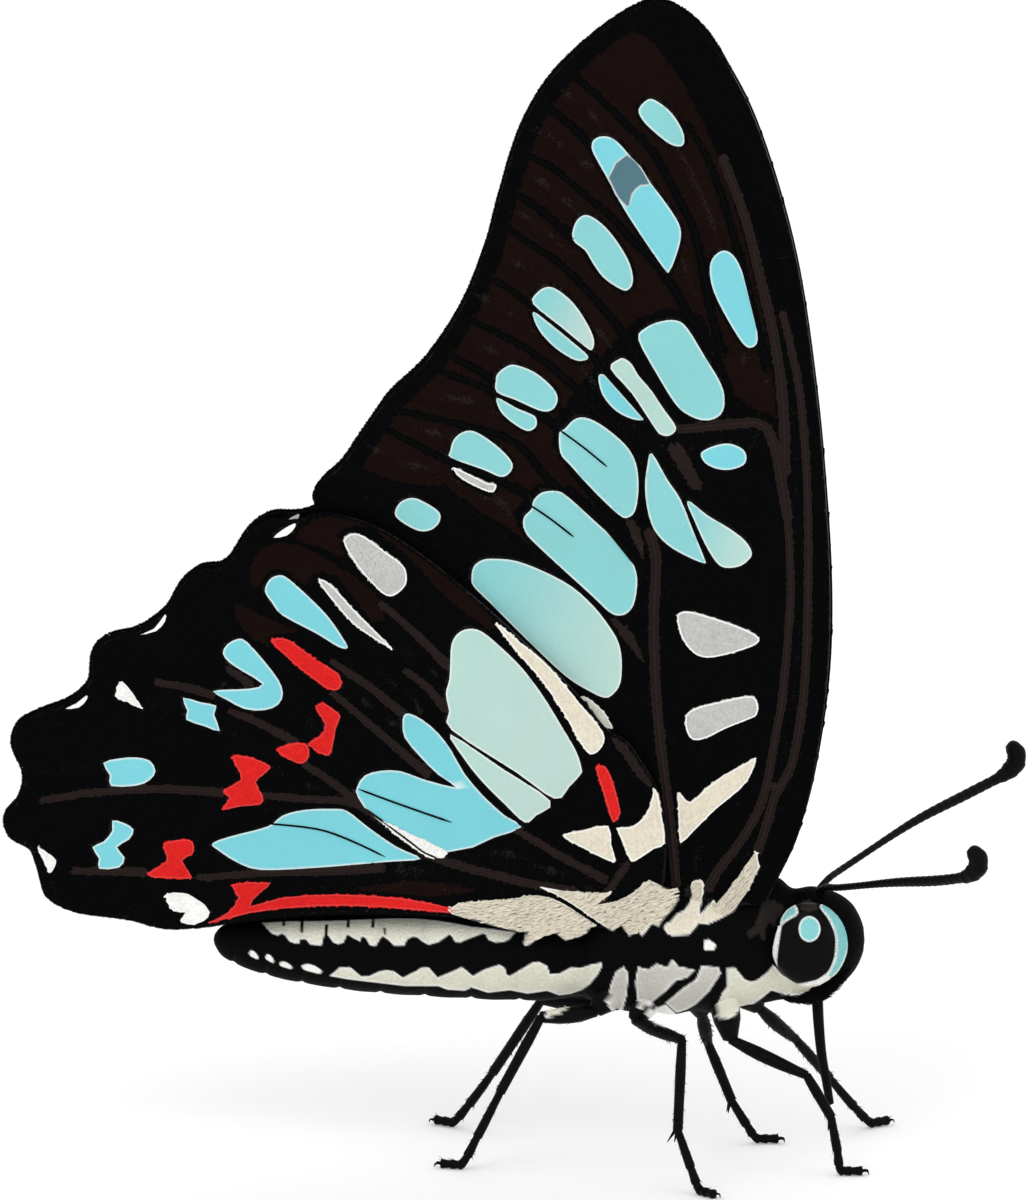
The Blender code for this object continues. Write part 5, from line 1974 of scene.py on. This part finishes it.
LEG_JOINTS = {  # shoulder, hip, knee, ankle and toe
    "right_front": ((9.4, -0.9, 8), (9.8, -1.5, 6), (13.3, -2.4, 4.6), (14.42, -2.5, 2.7), (15.8, -2.4, 0)),
    "right_mid": ((6.2, -1, 8), (5.5, -1.7, 6.85), (7.82, -4.6, 6.65), (7.72, -5.8, 2.75), (9.45, -7.5, 0)),
    "right_hind": ((4.6, -1, 8.2), (3.7, -1.5, 7.2), (1.35, -2.9, 7.2), (-0.5, -2.9, 3.7), (-3.2, -2.3, 0)),
    "left_front": ((9.9, 0.9, 8), (10.9, 1.3, 6.85), (12.4, 3.6, 4.9), (13.8, 5.6, 2.7), (16.3, 7.9, 0)),
    "left_mid": ((7.9, 1, 8), (8.3, 1.6, 6.45), (8.45, 3.4, 4.7), (9.5, 3.7, 2), (11.6, 3.8, 0)),
    "left_hind": ((4.9, 1, 8), (4.3, 1.5, 6.8), (0.95, 3.2, 6.65), (-1.4, 4.8, 2.85), (-4.1, 6.5, 0)),
}
# fmt: on


def marked(spots: Rows, ground: Rows, marks: Sequence[Mark], soft: float = 0.05) -> Rows:
    """Colours of chart spots: a ground with marks on it, each paler along its soft edge.

    Args:
        spots: The spots.
        ground: The ground's colour.
        marks: The marks, the uppermost last.
        soft: How wide the soft edge is.

    Returns:
        One colour for each spot.
    """
    found = np.tile(ground, (len(spots), 1))
    for mark in marks:
        gap = gap_to(spots, mark.outline, closed=True)[0] * np.where(inside(spots, mark.outline), 1.0, -1.0)
        own = mark.tint.rim + ease(gap / 0.12)[:, None] * (mark.tint.linear - mark.tint.rim)
        found += ease(gap / soft + 0.5)[:, None] * (own - found)
    return found


@dataclass(frozen=True)
class FurZone:
    """A stretch of the body with hair of one kind.

    The rows and the gaps between tufts, the length, width and lift of a tuft, and how it lies along the body
    and outwards-down.
    """

    name: str
    shape: TuftShape
    start: float
    end: float
    pitch: Spot
    size: Spot
    lift: float
    way: Place = (-1.0, 0.0, 0.0)


@dataclass
class Body:
    """One skin over abdomen, thorax, neck and head, with segment grooves, and the fur that covers it."""

    coat: Coat
    depth: float = 0.08
    groove: float = 0.07
    comb_reach: float = 0.3
    grooves: tuple[float, ...] = (-12.75, -11.3, -9.65, -7.95, -6.1, -4.1, -2.0, 0.2)
    step: float = 0.075
    sides: int = 220
    nodes: tuple[str, ...] = ("abdomen", "thorax", "neck", "head")
    zones: tuple[FurZone, ...] = (
        FurZone("abdomen", SCALE, -13.6, 3.0, (0.075, 0.08), (0.17, 0.11), 0.12),
        FurZone("thorax", HAIR, 2.9, 11.3, (0.078, 0.088), (0.26, 0.08), 0.18, (-1.0, 0.0, -0.3)),
        FurZone("neck", HAIR, 11.1, 12.3, (0.09, 0.1), (0.3, 0.085), 0.26, (-0.8, 0.0, 0.1)),
        FurZone("face", HAIR, 12.2, 15.65, (0.09, 0.1), (0.23, 0.075), 0.24, (-0.6, 0.0, 0.3)),
    )

    def __post_init__(self) -> None:
        """Draws the body's sections once."""
        self.line = spline(SECTIONS, 8)

    def place(self, along: Rows, angle: Rows, lift: Rows | float) -> Rows:
        """Places on the skin.

        Args:
            along: How far along the body each is.
            angle: The angle up from the left side.
            lift: How far outwards it stands.

        Returns:
            The places, one row each.
        """
        low, high, half = (np.interp(along, self.line[:, 0], self.line[:, i]) for i in (1, 2, 3))
        pinch = sum(np.exp(-(((along - x) / 0.13) ** 2)) for x in self.grooves)
        swell = sum(np.exp(-(((along - x - 0.9) / 0.75) ** 2)) for x in self.grooves)
        off = lift - self.depth - self.groove * pinch + 0.05 * swell
        wave = np.sin(3.1 * along + 1.4 * np.sin(angle))
        off = off + 0.07 * ease((along - 3.5) / 2) * ease((10.5 - along) / 2) * wave
        tall, half = np.maximum((high - low) / 2 + off, 0.08), np.maximum(half + off, 0.08)
        return np.stack([along, half * np.cos(angle), (low + high) / 2 + tall * np.sin(angle)], axis=1)

    def outward(self, along: Rows, angle: Rows) -> tuple[Rows, Rows, Rows]:
        """The skin's outward way, its way forwards and its way round, at each place.

        Args:
            along: How far along the body each is.
            angle: The angle up from the left side.

        Returns:
            The three ways, one row each.
        """
        here = self.place(along, angle, 0.0)
        fore = unit(self.place(along + 0.05, angle, 0.0) - here)
        round_ = unit(self.place(along, angle + 0.02, 0.0) - here)
        return unit(np.cross(fore, round_)), fore, round_

    @staticmethod
    def colours(places: Rows) -> Rows:
        """The body's pattern, the same on both sides."""
        return marked(CHART.read(places), Tint.SOOT.linear * 1.2, BODY_MARKS)

    def skin(self, material: Material) -> Object:
        """The whole skin as one closed mesh.

        Args:
            material: The finish.

        Returns:
            The skin.
        """
        alongs = np.arange(SECTIONS[0][0] + 0.02, SECTIONS[-1][0], self.step)
        angles = np.arange(self.sides) * 2 * math.pi / self.sides
        along, angle = (grid.ravel() for grid in np.meshgrid(alongs, angles, indexing="ij"))
        places = self.place(along, angle, 0.0)
        ends = np.array([[alongs[0] - 0.06, 0.0, 9.9], [alongs[-1] + 0.06, 0.0, 10.35]])
        mesh = shell("body_skin", places.reshape(len(alongs), self.sides, 3), ends)
        paint(mesh, self.colours(np.concatenate([places, ends])))
        return new_object("body_skin", mesh, material)

    def combed(self, place: Rows, lie: Rows, ways: Sequence[Rows]) -> Rows:
        """Turns hairs along the edges of the marks that they grow beside.

        Args:
            place: Their roots.
            lie: Their lie.
            ways: The skin's ways forwards, round and outwards there.

        Returns:
            The new lie.
        """
        fore, round_, out = ways
        spots, reach, step = CHART.read(place), self.comb_reach, 0.02
        for mark in BODY_MARKS:
            line = mark.outline
            close, gap = near(spots, line, reach)
            across = np.zeros((len(close), 3))
            for way in (fore[close], round_[close]):
                ahead = gap_to(CHART.read(place[close] + step * way), line, closed=True)[0]
                across += (ahead - gap)[:, None] * way
            along = np.cross(unit(across), out[close])
            along *= np.where(np.sum(along * lie[close], axis=1) < 0, -1.0, 1.0)[:, None]
            share = ease(1.2 * (1 - gap / reach))[:, None]
            lie[close] = unit(lie[close] + share * (along - lie[close]))
        return lie

    def fur(self, zone: FurZone, seed: int, material: Material) -> Object:
        """The fur of one stretch of the body.

        Args:
            zone: The stretch.
            seed: What the random draws start from.
            material: The finish.

        Returns:
            The fur as one mesh, clear of the eyes.
        """
        chance = np.random.default_rng(seed)
        rows, turns = [], []
        for x in np.arange(zone.start, zone.end, zone.pitch[0]):
            _, low, high, half = (float(np.interp(x, self.line[:, 0], self.line[:, i])) for i in range(4))
            round_ = math.pi * (half + (high - low) / 2)
            count = max(6, int(round_ / zone.pitch[1]))
            rows.append(np.full(count, x) + chance.normal(0, 0.3 * zone.pitch[0], count))
            turns.append((np.arange(count) + chance.random(count)) * 2 * math.pi / count)
        along = np.clip(np.concatenate(rows), SECTIONS[0][0] + 0.03, SECTIONS[-1][0] - 0.03)
        angle = np.concatenate(turns)
        out, fore, round_ = self.outward(along, angle)
        place = self.place(along, angle, -0.01)
        ahead, up = zone.way[0], zone.way[2]
        way = ahead * fore + up * np.array([0.0, 0.0, 1.0]) + chance.normal(0, 0.12, fore.shape)
        lie = unit(way - out * np.sum(way * out, axis=1, keepdims=True))
        lie = self.combed(place, lie, (fore, round_, out))
        length, width = zone.size
        taper = np.clip((along - SECTIONS[0][0]) / 1.5, 0.45, 1.0)
        length = length * taper * (0.75 + 0.4 * chance.random(len(along)))
        tip = place + 0.4 * length[:, None] * lie
        tints = self.colours(tip) * (0.92 + 0.3 * chance.random((len(along), 1)))
        tints = tints + 0.001 * chance.random(tints.shape)
        unwrap = np.stack([0.03 + (along + 14.0) / 32.0, 0.03 + (angle % (2 * math.pi)) * 0.14], axis=1)
        roots = Roots(place, lie, out, length, width * (0.8 + 0.4 * chance.random(len(along))), tints, unwrap)
        roots = roots.picked(Eye.clear_of(place))
        return self.coat.grow(f"{zone.name}_fur", zone.shape, roots, material, zone.lift, 0.1, seed)


@dataclass(frozen=True)
class Eye:
    """A compound eye: a faceted dome in a ring of pale scales, widest in front, with a painted highlight on
    the dome.
    """

    side: Side
    centre: Place = (13.37, 1.66, 10.48)
    half: Place = (1.7, 0.98, 1.92)
    around: int = 200
    rings: int = 120
    tries: int = 16000

    @classmethod
    def clear_of(cls, places: Rows) -> Rows:
        """Which places lie outside both eyes.

        Args:
            places: Places of the animal.

        Returns:
            True where one does.
        """
        middle, half = np.array(cls.centre), np.array(cls.half)
        shifted = (np.abs(places * (0, 1, 0)) + places * (1, 0, 1) - middle) / (half * 1.03)
        return np.linalg.norm(shifted, axis=1) > 1.0

    @staticmethod
    def colours(places: Rows) -> Rows:
        """The dome's colours: black, in a broken pale ring, with one painted highlight."""
        return marked(CHART.read(places), Tint.SOOT.linear, EYE_MARKS_AND_HIGHLIGHT)

    def place(self, ways: Rows) -> Rows:
        """Places on the dome in given ways from its middle."""
        return (np.array(self.centre) + ways * self.half) * (1.0, self.side.value, 1.0)

    def dome(self, material: Material) -> Object:
        """The dome itself, in rings about its outward pole.

        Args:
            material: The finish.

        Returns:
            The dome.
        """
        tilts = np.linspace(0, math.pi, self.rings + 1)[1:-1]
        turns = np.arange(self.around) * 2 * math.pi / self.around
        tilt, turn = np.meshgrid(tilts, turns, indexing="ij")
        rings = self.place(bearing(tilt, turn))
        ends = self.place(np.array([[0.0, 1.0, 0.0], [0.0, -1.0, 0.0]]))
        mesh = shell(f"eye_{self.side.word}_dome", rings, ends)
        paint(mesh, self.colours(np.concatenate([rings.reshape(-1, 3), ends])))
        return new_object(mesh.name, mesh, material)

    def ring(self, coat: Coat, material: Material) -> Object:
        """The ring of small pale scales round the dome.

        Args:
            coat: What grows scales and hair.
            material: The finish.

        Returns:
            The ring as one mesh.
        """
        chance = np.random.default_rng(91)
        tilt = np.arccos(chance.random(self.tries))
        turn = chance.random(self.tries) * 2 * math.pi
        ways = bearing(tilt, turn)
        places = self.place(ways)
        tints = self.colours(places)
        # Scales grow only on the pale ring, not on the painted highlight or the dark cap.
        ringed = np.any([inside(CHART.read(places), mark.outline) for mark in EYE_MARKS_AND_HIGHLIGHT[:4]], axis=0)
        out = unit(ways / self.half * (1.0, self.side.value, 1.0))
        across = np.cross(out, (0.0, 1.0, 0.0))
        lie = unit(np.cross(across, out) * -self.side.value + 0.8 * across)
        size = 0.8 + 0.4 * chance.random(len(ways))
        tints = tints * (0.88 + 0.2 * chance.random((len(ways), 1)))
        unwrap = 0.5 + 0.4 * ways[:, (0, 2)]
        roots = Roots(places, lie, out, 0.09 * size, 0.06 * size, tints, unwrap).picked(ringed)
        return coat.grow(f"eye_{self.side.word}_ring", SCALE, roots, material, 0.1, 0.1, 5)


@dataclass(frozen=True)
class Feeler:
    """One feeler: a jointed shaft that ends in a bent club."""

    side: Side
    knots: tuple[Place, ...] = (
        *((13.75, 0.35, 12.6), (14.05, 0.9, 12.95), (14.87, 2.5, 13.3), (17.45, 6.5, 14.42)),
        *((19.65, 9.3, 15.15), (20.95, 10.7, 15.62), (21.4, 11.05, 15.87), (21.7, 11.22, 16.22)),
        *((21.73, 11.3, 16.58), (21.55, 11.36, 16.84), (21.25, 11.38, 16.95)),
    )
    joints: int = 34
    ring_step: float = 0.06
    radius: float = 0.16
    club_radius: float = 0.45
    stagger: Place = (0.2, 0.0, -0.06)

    def build(self, material: Material) -> Object:
        """Builds the feeler, each joint a little swollen at its far end.

        Args:
            material: The finish.

        Returns:
            The feeler.
        """
        path = evenly(spline(self.knots, 60), self.ring_step) * (1.0, self.side.value, 1.0)
        share = np.linspace(0, 1, len(path))
        path = path + self.side.value * share[:, None] * self.stagger
        swelling = 0.3 * ease((share - 0.25) / 0.5) + 0.7 * ease((share - 0.84) / 0.09)
        radii = self.radius + (self.club_radius - self.radius) * swelling
        end = np.clip((1 - share) * len(path) * self.ring_step / self.club_radius, 0.02, 1.0)
        radii = radii * np.sqrt(end * (2 - end)) * (1 + 0.35 * ease((0.025 - share) / 0.025))
        joint = (share * self.joints) % 1.0
        radii = radii * (0.93 + 0.1 * ease(joint) - 0.1 * ease((joint - 0.86) / 0.14))
        mesh = sleeve(path, radii, 14)
        paint(mesh, np.tile(Tint.SOOT.linear * 1.5, (len(mesh.vertices), 1)))
        return new_object(f"feeler_{self.side.word}", mesh, material)


@dataclass(frozen=True)
class Mouth:
    """The tongue let down to drink and the two hairy palps beside it."""

    tongue: tuple[Place, ...] = (
        (13.6, 0.0, 8.6),
        (13.65, 0.0, 7.0),
        (13.8, 0.0, 5.2),
        (14.05, 0.0, 3.7),
        (14.2, 0.0, 2.75),
    )
    palp: tuple[Place, ...] = (
        (12.1, 0.7, 8.0),
        (13.0, 0.78, 7.88),
        (13.9, 0.8, 8.12),
        (14.6, 0.74, 8.75),
        (15.1, 0.62, 9.5),
    )
    rings: int = 70
    radius: float = 0.25
    palp_hairs: int = 900

    def straw(self, material: Material) -> Object:
        """The tongue, ringed along its length and tapered to its tip.

        Args:
            material: The finish.

        Returns:
            The tongue.
        """
        path = evenly(spline(self.tongue, 20), 0.022)
        share = np.linspace(0, 1, len(path))
        radii = self.radius * (1.1 - 0.35 * share) * (1 + 0.05 * np.sin(share * self.rings * 2 * math.pi))
        mesh = sleeve(path, radii, 14, 0.85)
        paint(mesh, np.tile(Tint.SOOT.linear * 1.6, (len(mesh.vertices), 1)))
        return new_object("tongue_straw", mesh, material)

    def palp_line(self, side: Side) -> tuple[Rows, Rows]:
        """A palp's middle line and radii."""
        path = spline([(*point, r) for point, r in zip(self.palp, (0.26, 0.34, 0.34, 0.28, 0.14))], 8)
        return path[:, :3] * (1.0, side.value, 1.0), path[:, 3]

    def palp_skin(self, side: Side, material: Material) -> Object:
        """A palp's skin.

        Args:
            side: The palp's side.
            material: The finish.

        Returns:
            The skin.
        """
        mesh = sleeve(*self.palp_line(side), 20)
        paint(mesh, Body.colours(places_of(mesh)))
        return new_object(f"palp_{side.word}_skin", mesh, material)

    def palp_fur(self, side: Side, coat: Coat, material: Material) -> Object:
        """A palp's hair, which stands forwards and down.

        Args:
            side: The palp's side.
            coat: What grows the hair.
            material: The finish.

        Returns:
            The hair as one mesh.
        """
        chance = np.random.default_rng(23)
        path, radii = self.palp_line(side)
        count = self.palp_hairs
        middle, radius, along, out, share, angle = strewn(path, radii, count, (0.0, 1.0, 0.0), chance)
        place = middle + out * (radius - 0.02)
        lie = unit(along + chance.normal(0, 0.15, along.shape))
        tints = Body.colours(place + 0.1 * along) * (0.9 + 0.3 * chance.random((count, 1)))
        length = 0.26 * (0.7 + 0.6 * chance.random(count))
        unwrap = np.stack([0.05 + 0.9 * share / len(path), 0.05 + 0.14 * angle], axis=1)
        roots = Roots(place, lie, out, length, np.full(count, 0.09), tints, unwrap)
        return coat.grow(f"palp_{side.word}_fur", HAIR, roots, material, 0.3, 0.15, 3)


@dataclass(frozen=True)
class Leg:
    """One leg: hip, thigh, shin with spurs, and a foot of five joints that ends in two claws."""

    name: str
    joints: tuple[Place, ...]
    girth: float = 1.0
    thigh: tuple[float, ...] = (0.22, 0.31, 0.29, 0.21)
    shin: tuple[float, ...] = (0.2, 0.24, 0.23, 0.23)
    foot: float = 0.22
    bow: float = 0.05
    flat: float = 0.9
    spines: int = 190

    def foot_line(self) -> Rows:
        """The foot's middle line: down from the ankle, then flat along the floor.

        Returns:
            The line's points.
        """
        ankle, toe = np.array(self.joints[3]), np.array(self.joints[4])
        back = 1 - self.flat / np.hypot(*(toe - ankle)[:2])
        heel = np.array([*(ankle[:2] + back * (toe - ankle)[:2]), self.foot])
        middle = ankle + 0.55 * (heel - ankle) - (0.0, 0.0, 0.12)
        line = spline((ankle, middle, heel, (*toe[:2], self.foot)), 20)
        line[:, 2] = np.maximum(line[:, 2], self.foot)
        return line

    def spurs(self, at: Rows, along: Rows) -> list[Mesh]:
        """The two spurs at the shin's end.

        Args:
            at: Where they stand.
            along: The shin's way.

        Returns:
            One mesh for each.
        """
        side = unit(np.cross(along, (0.0, 0.0, 1.0))[None])[0]
        found = []
        for sign in (-1, 1):
            tip = at + 0.45 * along - (0.3, 0.0, 0.28) + 0.16 * sign * side
            path = at + np.linspace(0, 1, 7)[:, None] * (tip - at)
            found.append(sleeve(path, np.linspace(0.11, 0.02, 7), 8))
        return found

    def claws(self, at: Rows, along: Rows) -> list[Mesh]:
        """The two claws beyond the foot's last joint.

        Args:
            at: Where they stand.
            along: The foot's way.

        Returns:
            One mesh for each.
        """
        side = unit(np.cross(along, (0.0, 0.0, 1.0))[None])[0]
        found = []
        for sign in (-1, 1):
            bend = at + 0.12 * along + 0.1 * sign * side + (0, 0, 0.02)
            hook = at + 0.26 * along + 0.13 * sign * side
            path = spline((at, bend, hook, hook + 0.05 * along + (0, 0, 0.08 - self.foot)), 4)
            found.append(sleeve(path, np.linspace(0.075, 0.018, len(path)), 8))
        return found

    def segments(self) -> list[tuple[Rows, Rows]]:
        """Middle line and radii of the hip, the thigh, the shin and the five joints of the foot.

        Returns:
            The middle line and the radii of each.
        """
        shoulder, hip, knee, ankle, _ = (np.array(joint) for joint in self.joints)
        share = np.linspace(0, 1, 24)[:, None]
        girth = np.interp(share[:, 0], (0, 0.6, 1), (0.75, 0.62, 0.34))
        found = [(shoulder + share * (hip - shoulder), girth)]
        for a, b, radii in ((hip, knee, self.thigh), (knee, ankle, self.shin)):
            size = spline([(r,) for r in radii], 8)[:, 0] * (self.girth if radii is self.thigh else 1.0)
            sag = np.array([0.0, 0.0, 4 * self.bow if radii is self.thigh else 0.0])
            line = a + share * (b - a) - share * (1 - share) * sag
            found.append((line, np.interp(share[:, 0], np.linspace(0, 1, len(size)), size)))
        line = self.foot_line()
        ends = np.array([0.0, 0.36, 0.54, 0.69, 0.82, 1.0]) * (len(line) - 1)
        for a, b in zip(ends, ends[1:]):
            part = line[int(a) : int(b) + 1]
            bulge = 0.8 + 0.2 * ease(np.linspace(0, 1, len(part)))
            found.append((part, self.foot * bulge))
        return found

    def build(self, material: Material) -> Object:
        """Builds the leg as one mesh.

        Args:
            material: The finish.

        Returns:
            The leg.
        """
        parts = self.segments()
        meshes = [sleeve(path, radii, 14) for path, radii in parts]
        shin = parts[2][0]
        meshes += self.spurs(shin[-2], unit((shin[-1] - shin[0])[None])[0])
        foot = parts[-1][0]
        meshes += self.claws(foot[-1], unit((foot[-1] - foot[0])[None])[0])
        thing = joined(self.name, meshes, material)
        paint(thing.data, self.colours(places_of(thing.data)))
        return thing

    @staticmethod
    def colours(places: Rows) -> Rows:
        """Black, with pale scales under the hips.

        Args:
            places: Places of the animal.

        Returns:
            One colour for each place.
        """
        pale = Body.colours(places)
        low = places[:, 2] < 6.3
        pale[low] = Tint.SOOT.linear * 1.4
        return pale

    def bristles(self, coat: Coat, seed: int, material: Material) -> Object:
        """Short bristles down the thigh, shin and foot.

        Args:
            coat: What grows the bristles.
            seed: What the random draws start from.
            material: The finish.

        Returns:
            The bristles as one mesh, clear of the floor.
        """
        chance = np.random.default_rng(seed)
        places, ways, outs, lengths = [], [], [], []
        for path, radii in self.segments()[1:]:
            run = np.linalg.norm(np.diff(path, axis=0), axis=1).sum()
            count = int(self.spines * run / 10) + 6
            middle, radius, along, out, *_ = strewn(path, radii, count, (0.31, 0.9, 0.2), chance)
            places.append(middle + out * radius * 0.97)
            ways.append(along)
            outs.append(out)
            lengths.append(0.2 * (0.6 + 0.8 * chance.random(count)))
        place, way, out, length = (np.concatenate(rows) for rows in (places, ways, outs, lengths))
        tints = self.colours(place) * 1.5
        unwrap = 0.05 + 0.04 * (place[:, (0, 2)] + (6.0, 0.0))
        roots = Roots(place, way, out, length, np.full(len(place), 0.05), tints, unwrap)
        roots = roots.picked(place[:, 2] > 0.3)
        return coat.grow(self.name + "_bristles", SPINE, roots, material, 0.5, 0.2, seed)


# --- studio


@dataclass(frozen=True)
class Softbox:
    """A square soft light: where it stands from the animal, in metres, its side, its power and its colour."""

    name: str
    away: Place
    size: float
    power: float
    colour: Place = (1.0, 1.0, 1.0)


@dataclass(frozen=True)
class Studio:
    """Pale floor, soft light and a camera a little above and in front of the animal's right side."""

    target: Place = (0.355, 0.0, 25.76)
    elevation: float = math.radians(12.0)
    azimuth: float = math.radians(4.2)
    distance: float = 1.5
    lens: float = 1000.0
    sensor: float = 36.0
    floor_half: float = 2.0
    sky: float = 0.93
    lights: tuple[Softbox, ...] = (
        Softbox("key", (-0.35, -0.75, 0.75), 0.5, 1.85),
        Softbox("fill", (0.7, -0.5, 0.35), 0.6, 0.95),
        Softbox("back", (0.1, 0.8, 0.6), 0.5, 0.3),
    )

    def floor(self) -> Object:
        """The floor, level with the soles.

        Returns:
            The floor.
        """
        half = self.floor_half
        mesh = bpy.data.meshes.new("floor")
        corners = [(-half, -half, 0), (half, -half, 0), (half, half, 0), (-half, half, 0)]
        mesh.from_pydata(corners, [], [(0, 1, 2, 3)])
        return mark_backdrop(new_object("floor", mesh, PalePaper().material()))

    @staticmethod
    def aim(name: str, data: bpy.types.ID, target: Vector, away: Sequence[float]) -> Object:
        """Stands a light or the camera off from the animal, turned to it.

        Args:
            name: Its name.
            data: What it is.
            target: What it is turned to.
            away: How far it stands from there.

        Returns:
            The object.
        """
        thing = bpy.data.objects.new(name, data)
        thing.location = target + Vector(away)
        thing.rotation_euler = (-Vector(away)).to_track_quat("-Z", "Y").to_euler()
        bpy.context.scene.collection.objects.link(thing)
        return thing

    def light(self, box: Softbox, target: Vector) -> None:
        """One soft light turned to the animal.

        Args:
            box: The light.
            target: The middle of the animal.
        """
        lamp = bpy.data.lights.new(box.name, "AREA")
        lamp.shape = "SQUARE"
        lamp.size = box.size
        lamp.energy = box.power
        lamp.color = box.colour
        self.aim(box.name, lamp, target, box.away)

    def camera(self, target: Vector) -> None:
        """The camera, far off, so that near and far parts keep one scale.

        Args:
            target: The middle of the animal.
        """
        lens = bpy.data.cameras.new("camera")
        lens.lens = self.lens
        lens.sensor_width = self.sensor
        lens.clip_start = 0.05
        lens.clip_end = 20.0
        level, high = (self.distance * turn(self.elevation) for turn in (math.cos, math.sin))
        away = (level * math.sin(self.azimuth), -level * math.cos(self.azimuth), high)
        bpy.context.scene.camera = self.aim("camera", lens, target, away)

    def build(self) -> None:
        """Sets the whole studio up."""
        target = Vector(self.target) * MM
        self.floor()
        for box in self.lights:
            self.light(box, target)
        self.camera(target)
        world = bpy.data.worlds.new("studio")
        world.use_nodes = True
        sky = world.node_tree.nodes["Background"]
        sky.inputs["Color"].default_value = (1.0, 1.0, 1.0, 1.0)
        sky.inputs["Strength"].default_value = self.sky
        bpy.context.scene.world = world
        bpy.context.scene.view_settings.view_transform = "Standard"


def build_wings(coat: Coat, hair: Material) -> None:
    """Builds both pairs of wings.

    Args:
        coat: What grows scales and hair.
        hair: The finish of hair.
    """
    ribs = vein_tree()
    membrane = Membrane().material()
    dust = ScaleDust("wing_scale_dust").material()
    vein = Horn("wing_vein", roughness=0.62, shine=0.04).material()
    for pair in (WingPair(FOREWING, coat, 11), WingPair(HINDWING, coat, 57)):
        flat = pair.triangulate()
        scalings = {face: pair.scaling(face) for face in Face}
        for side in Side:
            seat(pair.sheet(side, flat, membrane), "wing_scales", f"{pair.plan.name}_{side.word}")
            for face in Face:
                seat(pair.scales(side, face, scalings[face], dust), "wing_scales")
            seat(pair.raised_veins(side, ribs, vein), "wing_scales")
            seat(pair.fringe(side, dust), "wing_scales")
            seat(pair.base_hair(side, hair), "body_scales")


def build_body(coat: Coat, hair: Material) -> None:
    """Builds the body with its fur, the head's parts and the legs.

    Args:
        coat: What grows scales and hair.
        hair: The finish of hair.
    """
    body = Body(coat)
    hide = Hide("body_hide").material()
    seat(body.skin(hide), "body_scales", *body.nodes)
    for seed, zone in enumerate(body.zones, 71):
        seat(body.fur(zone, seed, hair), "body_scales")
    horn = Horn("limb_horn").material()
    facets = Facets().material()
    mouth = Mouth()
    seat(mouth.straw(horn), "limb_cuticle", "tongue")
    for side in Side:
        eye = Eye(side)
        seat(eye.dome(facets), "compound_eye", f"eye_{side.word}")
        seat(eye.ring(coat, hair), "body_scales")
        seat(mouth.palp_skin(side, hide), "body_scales", f"palp_{side.word}")
        seat(mouth.palp_fur(side, coat, hair), "body_scales")
        seat(Feeler(side).build(horn), "limb_cuticle", f"antenna_{side.word}", f"antenna_club_{side.word}")
    for seed, (which, joints) in enumerate(LEG_JOINTS.items(), 101):
        leg = Leg("leg_" + which, joints, 1.25 if "hind" in which else 1.0)
        nodes = [f"{leg.name}_{part}" for part in ("coxa", "femur", "tibia", "tarsus")]
        seat(leg.build(horn), "limb_cuticle", *nodes)
        seat(leg.bristles(coat, seed, horn), "limb_cuticle")


def main() -> None:
    """Builds every piece in order, then the studio."""
    logging.basicConfig(level=logging.INFO, format="%(message)s")
    coat = Coat()
    hair = Fur("soft_hair").material()
    build_wings(coat, hair)
    build_body(coat, hair)
    coat.put_away()
    Studio().build()


if __name__ == "__main__":
    main()
